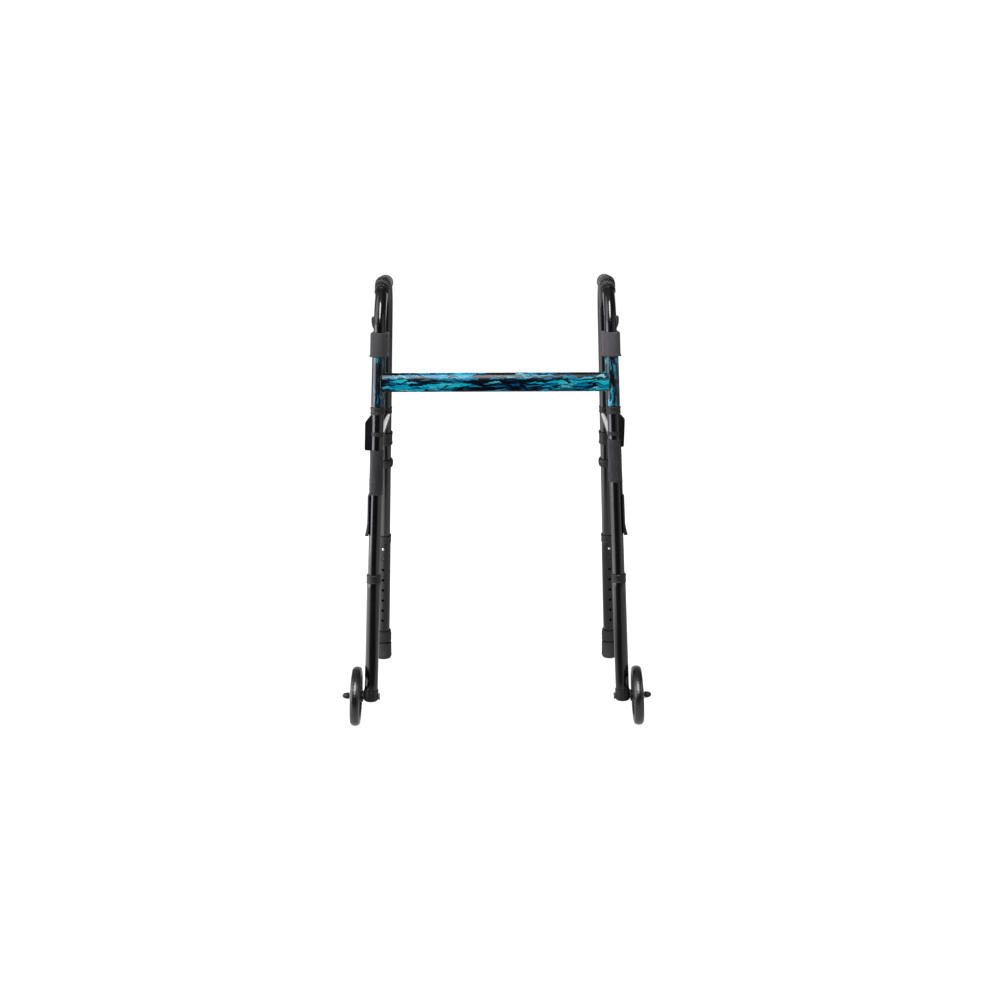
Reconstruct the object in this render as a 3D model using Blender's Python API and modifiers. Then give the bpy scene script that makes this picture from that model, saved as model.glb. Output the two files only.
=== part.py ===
"""Folding walker: two bent side frames that turn on the ends of a front crossbar,
with telescoping lower legs, two front wheels and two rear feet.

Metres, +Z up.  The front of the walker faces -Y.  "left" and "right" are the
user's, who stands behind the walker and looks forward: left is +X.
The origin is on the floor, in the middle of the outline.

Each side frame has a frame of its own: v points outboard, u rearward and w up
along its front leg, which is also the axis it folds on.
"""
import math

import bmesh
import bpy
from mathutils import Matrix, Vector

# ------------------------------------------------------------------ dimensions
AXIS_X = 0.2705            # fold axis at the floor, from the middle
AXIS_Y = -0.2130           # fold axis, from the middle of the outline
LEAN = math.atan(0.0365)   # front legs lean in toward the top
SPLAY = math.radians(1.15)  # side frames open toward the rear

TUBE_R = 0.0127            # 25.4 mm side tube
TUBE_RI = 0.0114
FIT_R = 0.0130             # bore that rides on the side tube
FIT_CUT = 0.0132           # cope that clears the side tube
BEND_R = 0.085
FRONT_BOTTOM = 0.250       # lower ends of the side tube
REAR_BOTTOM = 0.2525
TOP_W = 0.9365             # centre of the handle
REAR_U0 = 0.480            # rear leg meets the floor line here
REAR_SLOPE = 0.247         # and comes forward this much per metre of height
GRIP_R = 0.0165
GRIP_END = 0.180

BAR_Z0, BAR_Z1 = 0.714, 0.754
BAR_DEPTH = 0.024
BAR_WALL = 0.002
BAR_Y = -0.003
SLEEVE_R = 0.0143
SLEEVE_Z = (0.6845, 0.7870)
BUSH_R = 0.0155
BUSH_Z = (0.6672, 0.6828)
HOUSING_X = 0.019
HOUSING_Y = (-0.019, 0.036)
HOUSING_Z = (0.7880, 0.8385)
BUTTON_W, BUTTON_H, BUTTON_T = 0.859, 0.025, 0.012
BUTTON_V = (0.0088, 0.0172)

BRACE_R, BRACE_RI = 0.0111, 0.0096
BRACE_FRONT_W, BRACE_REAR_W = 0.6135, 0.6245
BAND_R = 0.0140
BAND_FRONT_Z = (0.6217, 0.6300)
BAND_REAR_Z = (0.6290, 0.6435)
COLLAR_UP_Z, COLLAR_UP_R = (0.5535, 0.5830), 0.0160
COLLAR_LOW_Z, COLLAR_LOW_R = (0.4990, 0.5160), 0.0177
WRAP_R = 0.0138
WRAP_LEFT_Z = (0.5232, 0.6142)
WRAP_RIGHT_Z = (0.4976, 0.5931)
BRACKET_T = 0.014

LOWER_R, LOWER_RI = 0.0143, 0.0130
HOLE_PITCH, HOLE_COUNT = 0.0277, 8
HOLE_R = 0.00355
PIN_R = 0.00325
PIN_W = 0.293
FRONT_TOP, FRONT_END = 0.3205, 0.0545
FRONT_COLLAR_Z = (0.3088, 0.3264)
COLLAR_R, SKIRT_R = 0.0155, 0.0146
CAP_Z, CAP_R = (0.0515, 0.0765), 0.0157
REAR_TOP_Z = 0.3200
REAR_COLLAR_Z = (0.3072, 0.3253)
PIN_TURN = math.radians(12)  # rear snap buttons look a little outboard

TYRE_R, TYRE_RI = 0.0620, 0.0492
TYRE_V = (0.0215, 0.0415)   # along the axle, outboard
HUB_V = (0.0204, 0.0454)
AXLE_R, AXLE_BORE = 0.0040, 0.0043
GLIDE_R, GLIDE_TOP = 0.0190, 0.0445
TIP_R, TIP_TOP = 0.0186, 0.0740
TIP_BOTTOM = 0.0448

# ------------------------------------------------------------------ collections
for old in list(bpy.data.objects):
    bpy.data.objects.remove(old, do_unlink=True)

PARTS = bpy.data.collections.new("folding_walker")
CUTTERS = bpy.data.collections.new("folding_walker_cutters")
bpy.context.scene.collection.children.link(PARTS)
bpy.context.scene.collection.children.link(CUTTERS)


# ------------------------------------------------------------------ helpers
def material(name, rgb, rough, metal):
    """Principled material of one piece."""
    m = bpy.data.materials.new(name)
    m.use_nodes = True
    b = m.node_tree.nodes["Principled BSDF"]
    b.inputs["Base Color"].default_value = (rgb[0], rgb[1], rgb[2], 1.0)
    b.inputs["Roughness"].default_value = rough
    b.inputs["Metallic"].default_value = metal
    return m


BLACK_PAINT = ((0.012, 0.012, 0.014), 0.22, 0.0)
PRINT = ((0.02, 0.10, 0.20), 0.35, 0.0)
MATTE = ((0.085, 0.080, 0.088), 0.75, 0.0)
BLACK_PLASTIC = ((0.015, 0.015, 0.016), 0.40, 0.0)
RUBBER = ((0.050, 0.050, 0.052), 0.85, 0.0)
FABRIC = ((0.070, 0.066, 0.072), 0.95, 0.0)
STEEL = ((0.55, 0.55, 0.56), 0.25, 1.0)


def empty(name, parent, loc=(0, 0, 0), rot=(0, 0, 0)):
    e = bpy.data.objects.new(name, None)
    e.empty_display_size = 0.03
    PARTS.objects.link(e)
    e.parent = parent
    e.location = loc
    e.rotation_euler = rot
    bpy.context.view_layer.update()
    return e


def place(name, data, parent, finish=None, loc=(0, 0, 0), rot=(0, 0, 0), cutter=False):
    ob = bpy.data.objects.new(name, data)
    (CUTTERS if cutter else PARTS).objects.link(ob)
    ob.parent = parent
    ob.location = loc
    ob.rotation_euler = rot
    if cutter:
        ob.hide_render = True
        ob.display_type = "WIRE"
    elif finish is not None:
        data.materials.append(material(name, *finish))
    bpy.context.view_layer.update()
    return ob


def smooth(ob, degrees=35):
    ob.data.shade_smooth()
    ob.data.set_sharp_from_angle(angle=math.radians(degrees))


def cut(ob, cutter):
    m = ob.modifiers.new("Cut", "BOOLEAN")
    m.operation = "DIFFERENCE"
    m.solver = "EXACT"
    m.object = cutter


def turned(name, profile, parent, finish=None, steps=24, closed=True,
           loc=(0, 0, 0), rot=(0, 0, 0), cutter=False):
    """Ring or solid of revolution about its own Z.

    profile: (radius, height) pairs that run down the outer side.  An open
    profile starts and ends on the axis.
    """
    me = bpy.data.meshes.new(name)
    verts = [(r, 0.0, h) for r, h in profile]
    edges = [(i, i + 1) for i in range(len(verts) - 1)]
    if closed:
        edges.append((len(verts) - 1, 0))
    me.from_pydata(verts, edges, [])
    ob = place(name, me, parent, finish, loc, rot, cutter)
    s = ob.modifiers.new("Turn", "SCREW")
    s.axis = "Z"
    s.angle = 2 * math.pi
    s.steps = s.render_steps = steps
    s.use_merge_vertices = True
    s.merge_threshold = 0.00001
    s.use_smooth_shade = True
    return ob


def ring_profile(ro, ri, z0, z1, c):
    """Section of a ring with its outer edges chamfered by c."""
    return [(ri, z1), (ro - c, z1), (ro, z1 - c), (ro, z0 + c), (ro - c, z0), (ri, z0)]


def rod(name, r, z0, z1, parent, steps=20, loc=(0, 0, 0), rot=(0, 0, 0)):
    """Round cutter about its own Z."""
    me = bpy.data.meshes.new(name)
    bm = bmesh.new()
    bmesh.ops.create_cone(bm, cap_ends=True, segments=steps, radius1=r, radius2=r,
                          depth=z1 - z0,
                          matrix=Matrix.Translation((0, 0, (z0 + z1) / 2)))
    bm.to_mesh(me)
    bm.free()
    return place(name, me, parent, None, loc, rot, True)


def box(name, lo, hi, parent, finish=None, bevel=0.0, segments=2,
        loc=(0, 0, 0), rot=(0, 0, 0), cutter=False):
    me = bpy.data.meshes.new(name)
    bm = bmesh.new()
    size = [hi[i] - lo[i] for i in range(3)]
    mid = [(hi[i] + lo[i]) / 2 for i in range(3)]
    bmesh.ops.create_cube(bm, size=1.0,
                          matrix=Matrix.Translation(mid) @ Matrix.Diagonal((*size, 1.0)))
    bm.to_mesh(me)
    bm.free()
    ob = place(name, me, parent, finish, loc, rot, cutter)
    if bevel:
        b = ob.modifiers.new("Round", "BEVEL")
        b.width = bevel
        b.segments = segments
        b.limit_method = "ANGLE"
        b.angle_limit = math.radians(40)
    return ob


def as_mesh(curve_ob, name, finish=None, cutter=False):
    """Mesh of a curve object, its caps welded, in the curve's place."""
    dg = bpy.context.evaluated_depsgraph_get()
    me = bpy.data.meshes.new_from_object(curve_ob.evaluated_get(dg))
    bm = bmesh.new()
    bm.from_mesh(me)
    bmesh.ops.remove_doubles(bm, verts=bm.verts, dist=0.000001)
    bmesh.ops.recalc_face_normals(bm, faces=bm.faces)
    bm.to_mesh(me)
    bm.free()
    me.name = name
    me.materials.clear()
    parent, world = curve_ob.parent, curve_ob.matrix_world.copy()
    bpy.data.objects.remove(curve_ob, do_unlink=True)
    ob = place(name, me, parent, finish, cutter=cutter)
    ob.matrix_world = world
    bpy.context.view_layer.update()
    return ob


def tube(name, points, r, res, parent, finish=None, cutter=False):
    """Round bar along points, 2 * res + 4 sides."""
    cu = bpy.data.curves.new(name + "_path", "CURVE")
    cu.dimensions = "3D"
    cu.twist_mode = "MINIMUM"
    cu.bevel_depth = r
    cu.bevel_resolution = res
    cu.use_fill_caps = True
    sp = cu.splines.new("POLY")
    sp.points.add(len(points) - 1)
    for p, co in zip(sp.points, points):
        p.co = (co[0], co[1], co[2], 1.0)
    ob = place(name + "_path", cu, parent)
    return as_mesh(ob, name, finish, cutter)


def outline(name, loops, half, parent, finish=None, cutter=False,
            loc=(0, 0, 0), rot=(0, 0, 0)):
    """Flat piece from closed loops in its own XY, half thick each way."""
    cu = bpy.data.curves.new(name + "_outline", "CURVE")
    cu.dimensions = "2D"
    cu.fill_mode = "BOTH"
    cu.extrude = half
    for loop in loops:
        sp = cu.splines.new("POLY")
        sp.points.add(len(loop) - 1)
        sp.use_cyclic_u = True
        for p, co in zip(sp.points, loop):
            p.co = (co[0], co[1], 0.0, 1.0)
    ob = place(name + "_outline", cu, parent, loc=loc, rot=rot)
    return as_mesh(ob, name, finish, cutter)


UPRIGHT = (math.pi / 2, 0, 0)      # an outline drawn in v and w, thick along u
REAR_TILT = math.atan(REAR_SLOPE)


def rear_t(z):
    """Distance along the rear leg, from the floor line, at height z."""
    return z / (math.cos(REAR_TILT) * math.cos(LEAN))


def side_path():
    """Centre line of the side tube in u and w: front leg, handle, rear leg."""
    pts = [(0.0, FRONT_BOTTOM), (0.0, 0.60)]
    cw = TOP_W - BEND_R
    n = 8
    for i in range(n + 1):
        a = math.radians(90) * i / n
        pts.append((BEND_R - BEND_R * math.cos(a), cw + BEND_R * math.sin(a)))
    # the rear bend turns from level to the slope of the rear leg
    turn = math.radians(90) - REAR_TILT
    end_dir = (math.sin(REAR_TILT), -math.cos(REAR_TILT))
    # the rear leg's line is u = REAR_U0 - REAR_SLOPE * w
    corner_u = REAR_U0 - REAR_SLOPE * TOP_W
    tangent = BEND_R * math.tan(turn / 2)
    start_u = corner_u - tangent
    n = 7
    for i in range(n + 1):
        a = turn * i / n
        pts.append((start_u + BEND_R * math.sin(a), TOP_W - BEND_R + BEND_R * math.cos(a)))
    t = REAR_BOTTOM / math.cos(REAR_TILT)
    pts.append((REAR_U0 - end_dir[0] * t, REAR_BOTTOM))
    return pts, start_u


SIDE_PATH, REAR_BEND_U = side_path()


def stretched(points, extra):
    """The same path, run on by extra at both ends."""
    a, b = Vector(points[0]), Vector(points[1])
    c, d = Vector(points[-1]), Vector(points[-2])
    first = a + (a - b).normalized() * extra
    last = c + (c - d).normalized() * extra
    return [tuple(first)] + list(points[1:-1]) + [tuple(last)]


def in_plane(points):
    return [(0.0, u, w) for u, w in points]


def toward(direction):
    """Rotation that lays a piece's own Z along direction."""
    return Vector(direction).to_track_quat("Z", "Y").to_euler()


# the wheel touches the floor with the inboard edge of its tread
TREAD = [(TYRE_R - 0.0075, TYRE_V[0]), (TYRE_R - 0.0032, TYRE_V[0] + 0.0022),
         (TYRE_R - 0.0009, TYRE_V[0] + 0.0055), (TYRE_R, TYRE_V[0] + 0.0085),
         (TYRE_R, TYRE_V[1] - 0.0085), (TYRE_R - 0.0009, TYRE_V[1] - 0.0055),
         (TYRE_R - 0.0032, TYRE_V[1] - 0.0022), (TYRE_R - 0.0075, TYRE_V[1])]
WHEEL_W = max(r - v * math.tan(LEAN) * math.cos(SPLAY) for r, v in TREAD)

# ------------------------------------------------------------------ front frame
root = empty("front_frame", None, (0, AXIS_Y, 0))


def oval(a, b, n=28, power=2.6):
    """Superellipse with half sizes a and b."""
    pts = []
    for i in range(n):
        t = 2 * math.pi * (i + 0.5) / n
        c, s = math.cos(t), math.sin(t)
        pts.append((a * math.copysign(abs(c) ** (2 / power), c),
                    b * math.copysign(abs(s) ** (2 / power), s)))
    return pts


bar_mid = (BAR_Z0 + BAR_Z1) / 2
bar_half = AXIS_X - math.tan(LEAN) * bar_mid - 0.0085
bar_a, bar_b = BAR_DEPTH / 2, (BAR_Z1 - BAR_Z0) / 2
# the oval is drawn in depth and height, and is long across the walker
crossbar = outline("crossbar", [oval(bar_a, bar_b),
                                oval(bar_a - BAR_WALL, bar_b - BAR_WALL)],
                   bar_half, root, PRINT, loc=(0, BAR_Y, bar_mid),
                   rot=(math.pi / 2, 0, math.pi / 2))

for side, s in (("left", 1), ("right", -1)):
    axis = empty("fold_axis_" + side, root, (s * AXIS_X, 0, 0), (0, -s * LEAN, 0))

    cut(crossbar, rod("bar_cope_" + side, SLEEVE_R + 0.0003 + 0.0001, 0.68, 0.79, axis, 28))
    turned("fold_sleeve_" + side,
           [(FIT_R, SLEEVE_Z[1]), (SLEEVE_R, SLEEVE_Z[1]), (SLEEVE_R, SLEEVE_Z[0]),
            (FIT_R, SLEEVE_Z[0])], axis, PRINT, 28)
    turned("fold_bushing_" + side,
           ring_profile(BUSH_R, FIT_R, BUSH_Z[0], BUSH_Z[1], 0.0012),
           axis, BLACK_PLASTIC, 24)
    housing = box("lock_housing_" + side,
                  (-HOUSING_X, HOUSING_Y[0], HOUSING_Z[0]),
                  (HOUSING_X, HOUSING_Y[1], HOUSING_Z[1]), axis, MATTE, 0.0045, 2)
    cut(housing, rod("housing_bore_" + side, FIT_R + 0.0001, 0.77, 0.86, axis, 28))

    # -------------------------------------------------------------- side frame
    frame = empty("side_frame_" + side, axis, rot=(0, 0, -s * SPLAY))
    rear = empty("rear_leg_axis_" + side, frame, (0, REAR_U0, 0), (REAR_TILT, 0, 0))

    st = tube("side_tube_" + side, in_plane(SIDE_PATH), TUBE_R, 8, frame, BLACK_PAINT)
    cut(st, tube("side_tube_bore_" + side, in_plane(stretched(SIDE_PATH, 0.01)),
                 TUBE_RI, 4, frame, cutter=True))
    cut(st, box("button_slot_" + side,
                (min(s * 0.004, s * 0.020), -BUTTON_T / 2 - 0.0003,
                 BUTTON_W - BUTTON_H / 2 - 0.0003),
                (max(s * 0.004, s * 0.020), BUTTON_T / 2 + 0.0003,
                 BUTTON_W + BUTTON_H / 2 + 0.0003), frame, cutter=True))

    # hand grip, from half way round the front bend to the rear bend
    n_front = 2 + 8                     # index of the top of the front bend
    grip_path = [SIDE_PATH[i] for i in range(7, n_front + 1)] + [(GRIP_END, TOP_W)]
    bore_path = [SIDE_PATH[i] for i in range(6, n_front + 1)] + [(GRIP_END + 0.005, TOP_W)]
    grip = tube("hand_grip_" + side, in_plane(grip_path), GRIP_R, 8, frame, RUBBER)
    cut(grip, tube("grip_bore_" + side, in_plane(bore_path), FIT_R, 8, frame, cutter=True))

    # side brace, coped to both legs and to the thin bands on them
    brace_ends = [(0.0, 0.0, BRACE_FRONT_W),
                  (0.0, REAR_U0 - REAR_SLOPE * BRACE_REAR_W, BRACE_REAR_W)]
    brace_run = [(0.0, -0.01, BRACE_FRONT_W - 0.01 * (BRACE_REAR_W - BRACE_FRONT_W)
                  / brace_ends[1][1]),
                 (0.0, brace_ends[1][1] + 0.01, BRACE_REAR_W + 0.01
                  * (BRACE_REAR_W - BRACE_FRONT_W) / brace_ends[1][1])]
    brace = tube("side_brace_" + side, brace_ends, BRACE_R, 8, frame, BLACK_PAINT)
    cut(brace, tube("brace_bore_" + side, brace_run, BRACE_RI, 4, frame, cutter=True))
    cut(brace, rod("brace_cope_front_" + side, FIT_CUT, 0.58, 0.65, frame, 28))
    cut(brace, rod("brace_cope_rear_" + side, FIT_CUT, rear_t(0.58), rear_t(0.67), rear, 28))
    cut(brace, rod("brace_clear_front_" + side, BAND_R + 0.0005,
                   BAND_FRONT_Z[0] - 0.0003, 0.65, frame, 28))
    cut(brace, rod("brace_clear_rear_" + side, BAND_R + 0.0005,
                   rear_t(BAND_REAR_Z[0]) - 0.0003, rear_t(0.67), rear, 28))

    turned("brace_band_front_" + side,
           ring_profile(BAND_R, FIT_R, BAND_FRONT_Z[0], BAND_FRONT_Z[1], 0.0003),
           frame, BLACK_PLASTIC, 20)
    turned("brace_band_rear_" + side,
           ring_profile(BAND_R, FIT_R, rear_t(BAND_REAR_Z[0]), rear_t(BAND_REAR_Z[1]), 0.0003),
           rear, BLACK_PLASTIC, 20)
    turned("rear_collar_upper_" + side,
           ring_profile(COLLAR_UP_R, FIT_R, rear_t(COLLAR_UP_Z[0]), rear_t(COLLAR_UP_Z[1]),
                        0.0010), rear, MATTE, 24)
    turned("rear_collar_lower_" + side,
           ring_profile(COLLAR_LOW_R, FIT_R, rear_t(COLLAR_LOW_Z[0]), rear_t(COLLAR_LOW_Z[1]),
                        0.0014), rear, MATTE, 24)

    # wedge outboard of the front leg; the two are not alike in the photograph
    if s > 0:
        wedge = ((0.0060, 0.6655), (0.0146, 0.6655), (0.0222, 0.6565), (0.0230, 0.6535),
                 (0.0224, 0.6420), (0.0194, 0.6000), (0.0182, 0.5970), (0.0060, 0.5970))
    else:
        wedge = ((0.0060, 0.6655), (0.0146, 0.6655), (0.0250, 0.6510), (0.0257, 0.6480),
                 (0.0254, 0.5945), (0.0234, 0.5915), (0.0060, 0.5915))
    bracket = outline("side_bracket_" + side, [[(s * v, w) for v, w in wedge]],
                      BRACKET_T / 2, frame, MATTE, rot=UPRIGHT)
    cut(bracket, rod("bracket_cope_" + side, FIT_CUT, 0.58, 0.68, frame, 28))
    cut(bracket, rod("bracket_band_" + side, BAND_R + 0.0005,
                     BAND_FRONT_Z[0] - 0.0003, BAND_FRONT_Z[1] + 0.0003, frame, 28))
    wz = WRAP_LEFT_Z if s > 0 else WRAP_RIGHT_Z
    cut(bracket, rod("bracket_wrap_" + side, WRAP_R + 0.0005, 0.58, wz[1] + 0.0003, frame, 28))

    # fabric wrap round the front leg, and the strap end that hangs below it
    wrap = turned("leg_wrap_" + side, ring_profile(WRAP_R, FIT_R, wz[0], wz[1], 0.0003),
                  frame, FABRIC, 24)
    if s > 0:
        cut(wrap, tube("wrap_notch_" + side, brace_ends, BRACE_R + 0.0004, 4, frame,
                       cutter=True))
    top = wz[0] - 0.0003
    tip_v = 0.0213 if s > 0 else 0.0202
    inner = [(0.0131, top), (0.0134, 0.4962), (0.0160, 0.4928), (0.0164, 0.4380),
             (tip_v, 0.4090)]
    outer = [(0.0144, top), (0.0147, 0.4968), (0.0172, 0.4936), (0.0176, 0.4384),
             (tip_v + 0.0012, 0.4094)]
    outline("strap_tail_" + side,
            [[(s * v, w) for v, w in inner + outer[::-1]]], 0.009, frame, FABRIC,
            rot=UPRIGHT)

    # release button, in its slot on the outer side of the tube
    release = empty("release_axis_" + side, frame, (0, 0, BUTTON_W))
    box("release_button_" + side,
        (min(s * BUTTON_V[0], s * BUTTON_V[1]), -BUTTON_T / 2, -BUTTON_H / 2),
        (max(s * BUTTON_V[0], s * BUTTON_V[1]), BUTTON_T / 2, BUTTON_H / 2),
        release, MATTE, 0.0024, 2)

    # snap buttons: a domed pin with a flange inside the tube
    pin = [(0.0, 0.0168), (0.0016, 0.0165), (0.0028, 0.0155), (PIN_R, 0.0144),
           (PIN_R, 0.0092), (0.0048, 0.0092), (0.0048, 0.0080), (0.0, 0.0080)]
    back = Vector((0, 1, 0))
    ahead = Vector((s * math.sin(PIN_TURN), -math.cos(PIN_TURN), 0))
    pin_t = rear_t(PIN_W)
    turned("snap_button_front_" + side, pin, frame, STEEL, 12, False,
           (0, 0, PIN_W), toward(back))
    turned("snap_button_rear_" + side, pin, rear, STEEL, 12, False,
           (0, 0, pin_t), toward(ahead))
    cut(st, rod("snap_hole_front_" + side, HOLE_R, 0.008, 0.018, frame, 10,
                (0, 0, PIN_W), toward(back)))
    cut(st, rod("snap_hole_rear_" + side, HOLE_R, 0.008, 0.018, rear, 10,
                (0, 0, pin_t), toward(ahead)))

    # -------------------------------------------------------------- front lower leg
    leg = empty("front_lower_leg_" + side, frame)
    lt = turned("front_leg_tube_" + side,
                [(LOWER_RI, FRONT_TOP), (LOWER_R, FRONT_TOP), (LOWER_R, FRONT_END),
                 (LOWER_RI, FRONT_END)], leg, BLACK_PAINT, 20)
    for k in range(HOLE_COUNT):
        cut(lt, rod("front_hole_%s_%d" % (side, k), HOLE_R, 0.010, 0.018, leg, 8,
                    (0, 0, PIN_W - k * HOLE_PITCH), toward(back)))
    turned("front_leg_collar_" + side,
           [(FIT_R, FRONT_COLLAR_Z[1]), (COLLAR_R - 0.0008, FRONT_COLLAR_Z[1]),
            (COLLAR_R, FRONT_COLLAR_Z[1] - 0.0008), (COLLAR_R, FRONT_COLLAR_Z[0]),
            (SKIRT_R, FRONT_COLLAR_Z[0]), (SKIRT_R, FRONT_TOP + 0.0003),
            (FIT_R, FRONT_TOP + 0.0003)], leg, BLACK_PLASTIC, 20)
    cap = turned("front_leg_cap_" + side,
                 [(0.0, FRONT_END - 0.0003), (SKIRT_R, FRONT_END - 0.0003),
                  (SKIRT_R, CAP_Z[1]), (CAP_R, CAP_Z[1]), (CAP_R, CAP_Z[0] + 0.0012),
                  (CAP_R - 0.0012, CAP_Z[0]), (0.0, CAP_Z[0])], leg, BLACK_PLASTIC, 20,
                 False)

    wheel = empty("wheel_axis_" + side, leg, (0, 0, WHEEL_W), (0, s * math.pi / 2, 0))
    for piece in (lt, cap):
        cut(piece, rod("axle_hole_%s_%s" % (piece.name, side), AXLE_BORE, -0.022, 0.022,
                       wheel, 12))
    # axle bolt with its hex head inboard; v runs outboard along the axle
    turned("wheel_axle_" + side,
           [(0.0, 0.0562), (0.0032, 0.0562), (AXLE_R, 0.0554), (AXLE_R, -0.0161),
            (0.0072, -0.0161), (0.0072, -0.0190), (0.0, -0.0190)],
           wheel, STEEL, 12, False)
    turned("axle_spacer_" + side,
           [(AXLE_BORE, 0.0198), (0.0112, 0.0198), (0.0120, 0.0190), (0.0120, 0.0162),
            (AXLE_BORE, 0.0162)], wheel, BLACK_PLASTIC, 20)
    turned("axle_nut_" + side,
           [(0.0, 0.0612), (0.0030, 0.0605), (0.0055, 0.0582), (0.0064, 0.0552),
            (0.0066, 0.0522), (0.0075, 0.0516), (0.0075, 0.0459), (AXLE_BORE, 0.0459),
            (AXLE_BORE, 0.0569), (0.0, 0.0569)], wheel, BLACK_PLASTIC, 12, False)
    v0, v1 = TYRE_V
    hub = turned("wheel_hub_" + side,
                 [(0.0455, v1 - 0.0008), (TYRE_RI - 0.0003, v1 - 0.0008),
                  (TYRE_RI - 0.0003, v0 + 0.0008), (0.0455, v0 + 0.0008),
                  (0.0440, 0.0295), (0.0120, 0.0295), (0.0115, HUB_V[0]),
                  (AXLE_BORE, HUB_V[0]), (AXLE_BORE, HUB_V[1]), (0.0112, HUB_V[1]),
                  (0.0120, HUB_V[1] - 0.0010), (0.0120, 0.0335), (0.0440, 0.0335)],
                 wheel, BLACK_PLASTIC, 24)
    for k in range(6):
        a = math.radians(60 * k + 33.5)
        cut(hub, rod("hub_hole_%s_%d" % (side, k), 0.0085, 0.027, 0.038, wheel, 8,
                     (0.028 * math.cos(a), 0.028 * math.sin(a), 0)))
    turned("wheel_tyre_" + side,
           [(TYRE_RI, v1 - 0.0006)] + [(r, v) for r, v in TREAD[::-1]]
           + [(TYRE_RI, v0 + 0.0006)], wheel, RUBBER, 40)

    # -------------------------------------------------------------- rear lower leg
    low = empty("rear_lower_leg_" + side, rear)
    rt = turned("rear_leg_tube_" + side,
                [(LOWER_RI, rear_t(REAR_TOP_Z)), (LOWER_R, rear_t(REAR_TOP_Z)),
                 (LOWER_R, rear_t(0.0560)), (LOWER_RI, rear_t(0.0560))], low,
                BLACK_PAINT, 20)
    for k in range(HOLE_COUNT):
        cut(rt, rod("rear_hole_%s_%d" % (side, k), HOLE_R, 0.010, 0.018, low, 8,
                    (0, 0, pin_t - k * HOLE_PITCH), toward(ahead)))
    turned("rear_leg_collar_" + side,
           [(FIT_R, rear_t(REAR_COLLAR_Z[1])), (COLLAR_R - 0.0008, rear_t(REAR_COLLAR_Z[1])),
            (COLLAR_R, rear_t(REAR_COLLAR_Z[1]) - 0.0008), (COLLAR_R, rear_t(REAR_COLLAR_Z[0])),
            (SKIRT_R, rear_t(REAR_COLLAR_Z[0])), (SKIRT_R, rear_t(REAR_TOP_Z) + 0.0003),
            (FIT_R, rear_t(REAR_TOP_Z) + 0.0003)], low, BLACK_PLASTIC, 20)

    # rubber tip along the leg, cut level where it stands on the glide
    t_top, t_seat = rear_t(TIP_TOP), rear_t(0.0560) - 0.0003
    tip = turned("rear_tip_" + side,
                 [(0.0, t_seat), (SKIRT_R, t_seat), (SKIRT_R, t_top), (0.0166, t_top),
                  (0.0178, t_top - 0.0018), (TIP_R, t_top - 0.0110), (TIP_R, 0.020),
                  (0.0, 0.020)], low, RUBBER, 28, False)
    foot = frame.matrix_world @ Vector((0, REAR_U0 - REAR_SLOPE * 0.045, 0.045))
    level = box("tip_level_" + side, (-0.06, -0.06, -0.05), (0.06, 0.06, TIP_BOTTOM), low,
                cutter=True)
    level.matrix_world = Matrix.Translation((foot.x, foot.y, 0))
    cut(tip, level)
    glide = turned("rear_glide_" + side,
                   [(0.0, GLIDE_TOP), (GLIDE_R - 0.0012, GLIDE_TOP),
                    (GLIDE_R, GLIDE_TOP - 0.0012), (GLIDE_R, 0.0090),
                    (GLIDE_R - 0.0012, 0.0040), (GLIDE_R - 0.0045, 0.0010),
                    (GLIDE_R - 0.0080, 0.0), (0.0, 0.0)], low, RUBBER, 32, False)
    glide.matrix_world = Matrix.Translation((foot.x, foot.y, 0))
    bpy.context.view_layer.update()

for ob in PARTS.objects:
    if ob.type == "MESH" and not ob.modifiers.get("Turn"):
        smooth(ob)
bpy.context.view_layer.update()
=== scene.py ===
import math

import bmesh
import bpy
import numpy as np
from mathutils import Matrix, Vector


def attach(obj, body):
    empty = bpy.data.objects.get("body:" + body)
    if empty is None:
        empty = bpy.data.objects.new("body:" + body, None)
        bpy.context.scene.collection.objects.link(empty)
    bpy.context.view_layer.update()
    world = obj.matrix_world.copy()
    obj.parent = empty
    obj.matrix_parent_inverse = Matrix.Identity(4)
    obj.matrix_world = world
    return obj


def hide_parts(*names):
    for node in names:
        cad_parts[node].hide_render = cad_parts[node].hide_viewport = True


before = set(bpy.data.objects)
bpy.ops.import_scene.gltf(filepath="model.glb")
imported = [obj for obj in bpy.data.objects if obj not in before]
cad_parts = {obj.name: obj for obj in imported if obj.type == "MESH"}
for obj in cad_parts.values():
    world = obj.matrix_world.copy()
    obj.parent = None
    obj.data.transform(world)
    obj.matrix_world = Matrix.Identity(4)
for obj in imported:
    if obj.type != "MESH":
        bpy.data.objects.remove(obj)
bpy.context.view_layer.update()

# ---------------------------------------------------------------- dimensions, as in the CAD
AXIS_X, AXIS_Y = 0.2705, -0.2130
LEAN = math.atan(0.0365)
SPLAY = math.radians(1.15)
TUBE_R, TUBE_RI, FIT_R, FIT_CUT = 0.0127, 0.0114, 0.0130, 0.0132
BEND_R, FRONT_BOTTOM, REAR_BOTTOM, TOP_W = 0.085, 0.250, 0.2525, 0.9365
REAR_U0, REAR_SLOPE = 0.480, 0.247
REAR_TILT = math.atan(REAR_SLOPE)
GRIP_R, GRIP_END = 0.0165, 0.180
BAR_Z0, BAR_Z1, BAR_DEPTH, BAR_WALL, BAR_Y = 0.714, 0.754, 0.024, 0.002, -0.003
SLEEVE_R, SLEEVE_Z = 0.0143, (0.6845, 0.7870)
BUSH_R, BUSH_Z = 0.0155, (0.6672, 0.6828)
HOUSING_X, HOUSING_Y, HOUSING_Z = 0.019, (-0.019, 0.036), (0.7880, 0.8385)
BUTTON_W, BUTTON_H, BUTTON_T = 0.859, 0.025, 0.012
BUTTON_V = (0.0088, 0.0172)
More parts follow.
